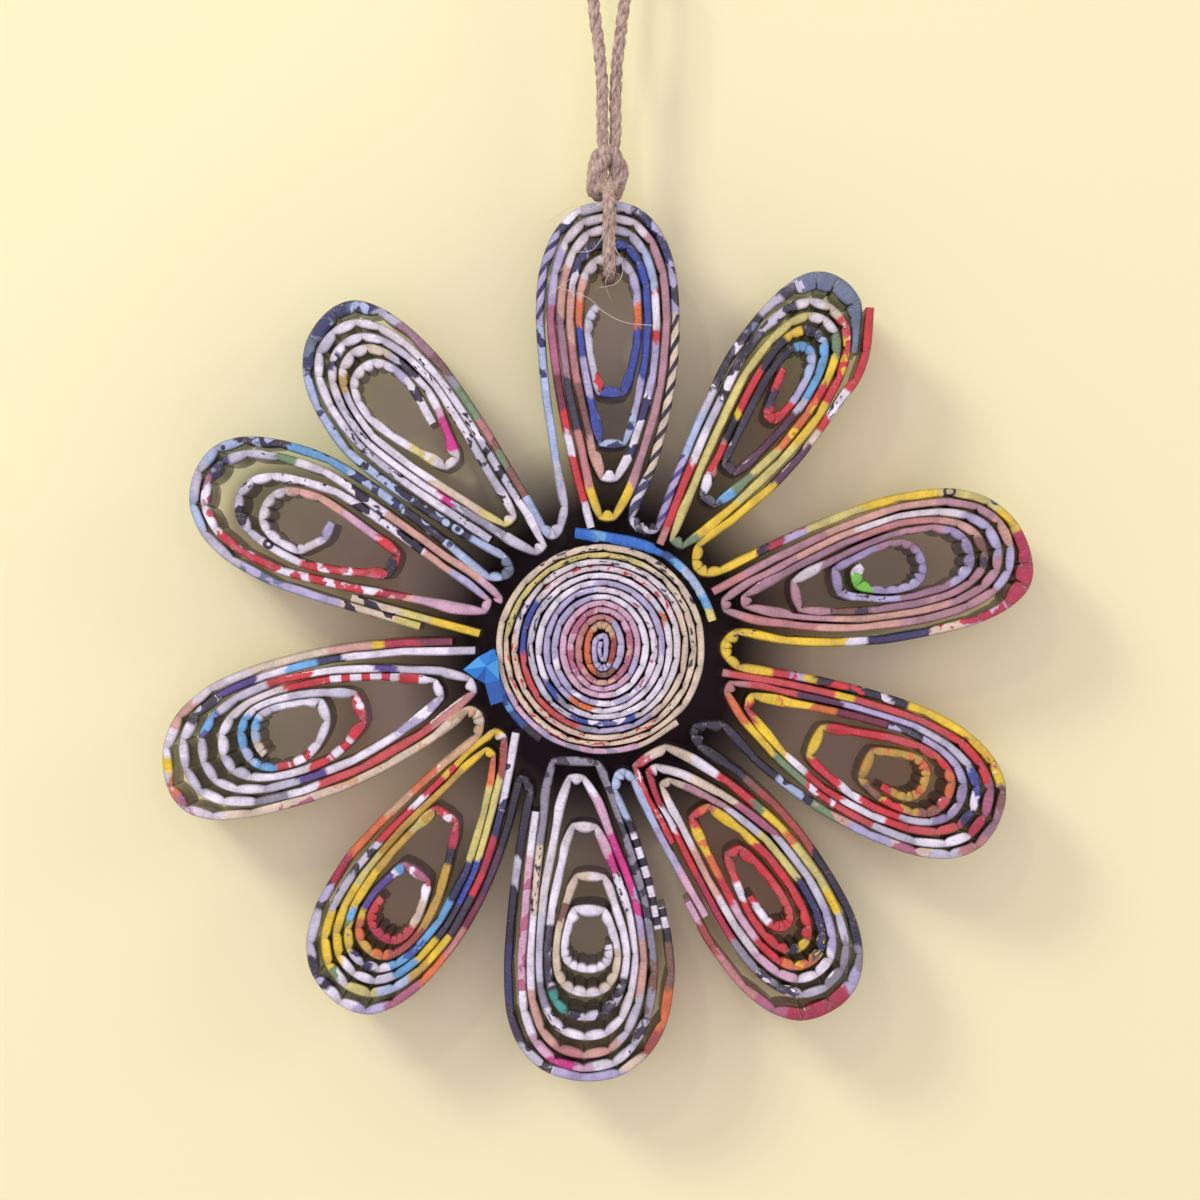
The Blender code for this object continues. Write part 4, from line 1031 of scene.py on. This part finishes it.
def make_world():
    """Soft light: cool from straight in front, warm and weaker from the sides. What the camera
    sees past the wall is the wall's own colour."""
    world = bpy.context.scene.world or bpy.data.worlds.new("studio")
    bpy.context.scene.world = world
    world.use_nodes = True
    tree = world.node_tree
    background = tree.nodes["Background"]
    where = add_node(tree, "TexCoord").outputs["Generated"]
    depth = add_node(tree, "SeparateXYZ", Vector=where).outputs[1]
    ahead = maths("ABSOLUTE", depth)
    straight = over(ahead, 0.78, 0.12)
    feed(background.inputs[0], mix(straight, (0.97, 0.95, 0.9, 1), (0.74, 0.56, 1.0, 1)))
    strength = plus(times(times(minus(0.82, ahead), 1 / 0.3, True), 0.5), 0.3)
    strength = plus(times(straight, 1.25), strength)
    behind = times(depth, 8.0, True)
    feed(background.inputs[1], times(strength, minus(1.0, times(behind, 0.2))))
    seen = add_node(tree, "Background")
    feed(seen.inputs[0], (*linear(WALL_COLOUR), 1))
    camera_ray = add_node(tree, "LightPath").outputs["Is Camera Ray"]
    mix_shader(tree, camera_ray, background.outputs[0], seen.outputs[0], "World Output")


def make_stage():
    bpy.ops.mesh.primitive_plane_add(size=WALL_SIZE, location=(0, WALL_BACK, WALL_HEIGHT),
                                     rotation=(math.pi / 2, 0, 0))
    wall = bpy.context.object
    wall.name = "wall"
    wall.data.materials.append(wall_material())
    wall.visible_shadow = False
    make_world()
    for name, energy, size, location in LAMPS:
        data = bpy.data.lights.new(name, "AREA")
        data.energy = energy
        data.size = size
        data.color = LAMP_COLOUR
        lamp = bpy.data.objects.new(name, data)
        bpy.context.scene.collection.objects.link(lamp)
        lamp.location = location
        aim = Vector(LAMP_AIM) - Vector(location)
        lamp.rotation_euler = aim.to_track_quat("-Z", "Y").to_euler()
    bpy.context.scene.view_settings.view_transform = "Standard"


# Material name, how much painted shade darkens the fold's edges, and the painted shade tint of the
# side walls
PAPERS = {"petal": ("varnished_paper", 0.62, (0.2, 0.155, 0.18, 1)),
          "centre": ("varnished_disc_paper", 0.34, (0.4, 0.34, 0.34, 1)),
          "outline": ("varnished_outline_paper", 0.62, (0.52, 0.48, 0.5, 1))}


def main():
    make_camera()
    make_twine()
    papers = {kind: paper_material(*look) for kind, look in PAPERS.items()}
    routes = all_routes()
    walls = [(a, b, name) for name, route in routes.items()
             for (a, _), (b, _) in zip(route, route[1:])]
    segments = [np.array(part) for part in zip(*walls)]
    for name, route in routes.items():
        piece = build_strip(name, route, segments, papers[name.split("_")[0]])
        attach(piece, "root")
        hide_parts(name)
    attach(make_flap(), "root")
    make_stage()


main()
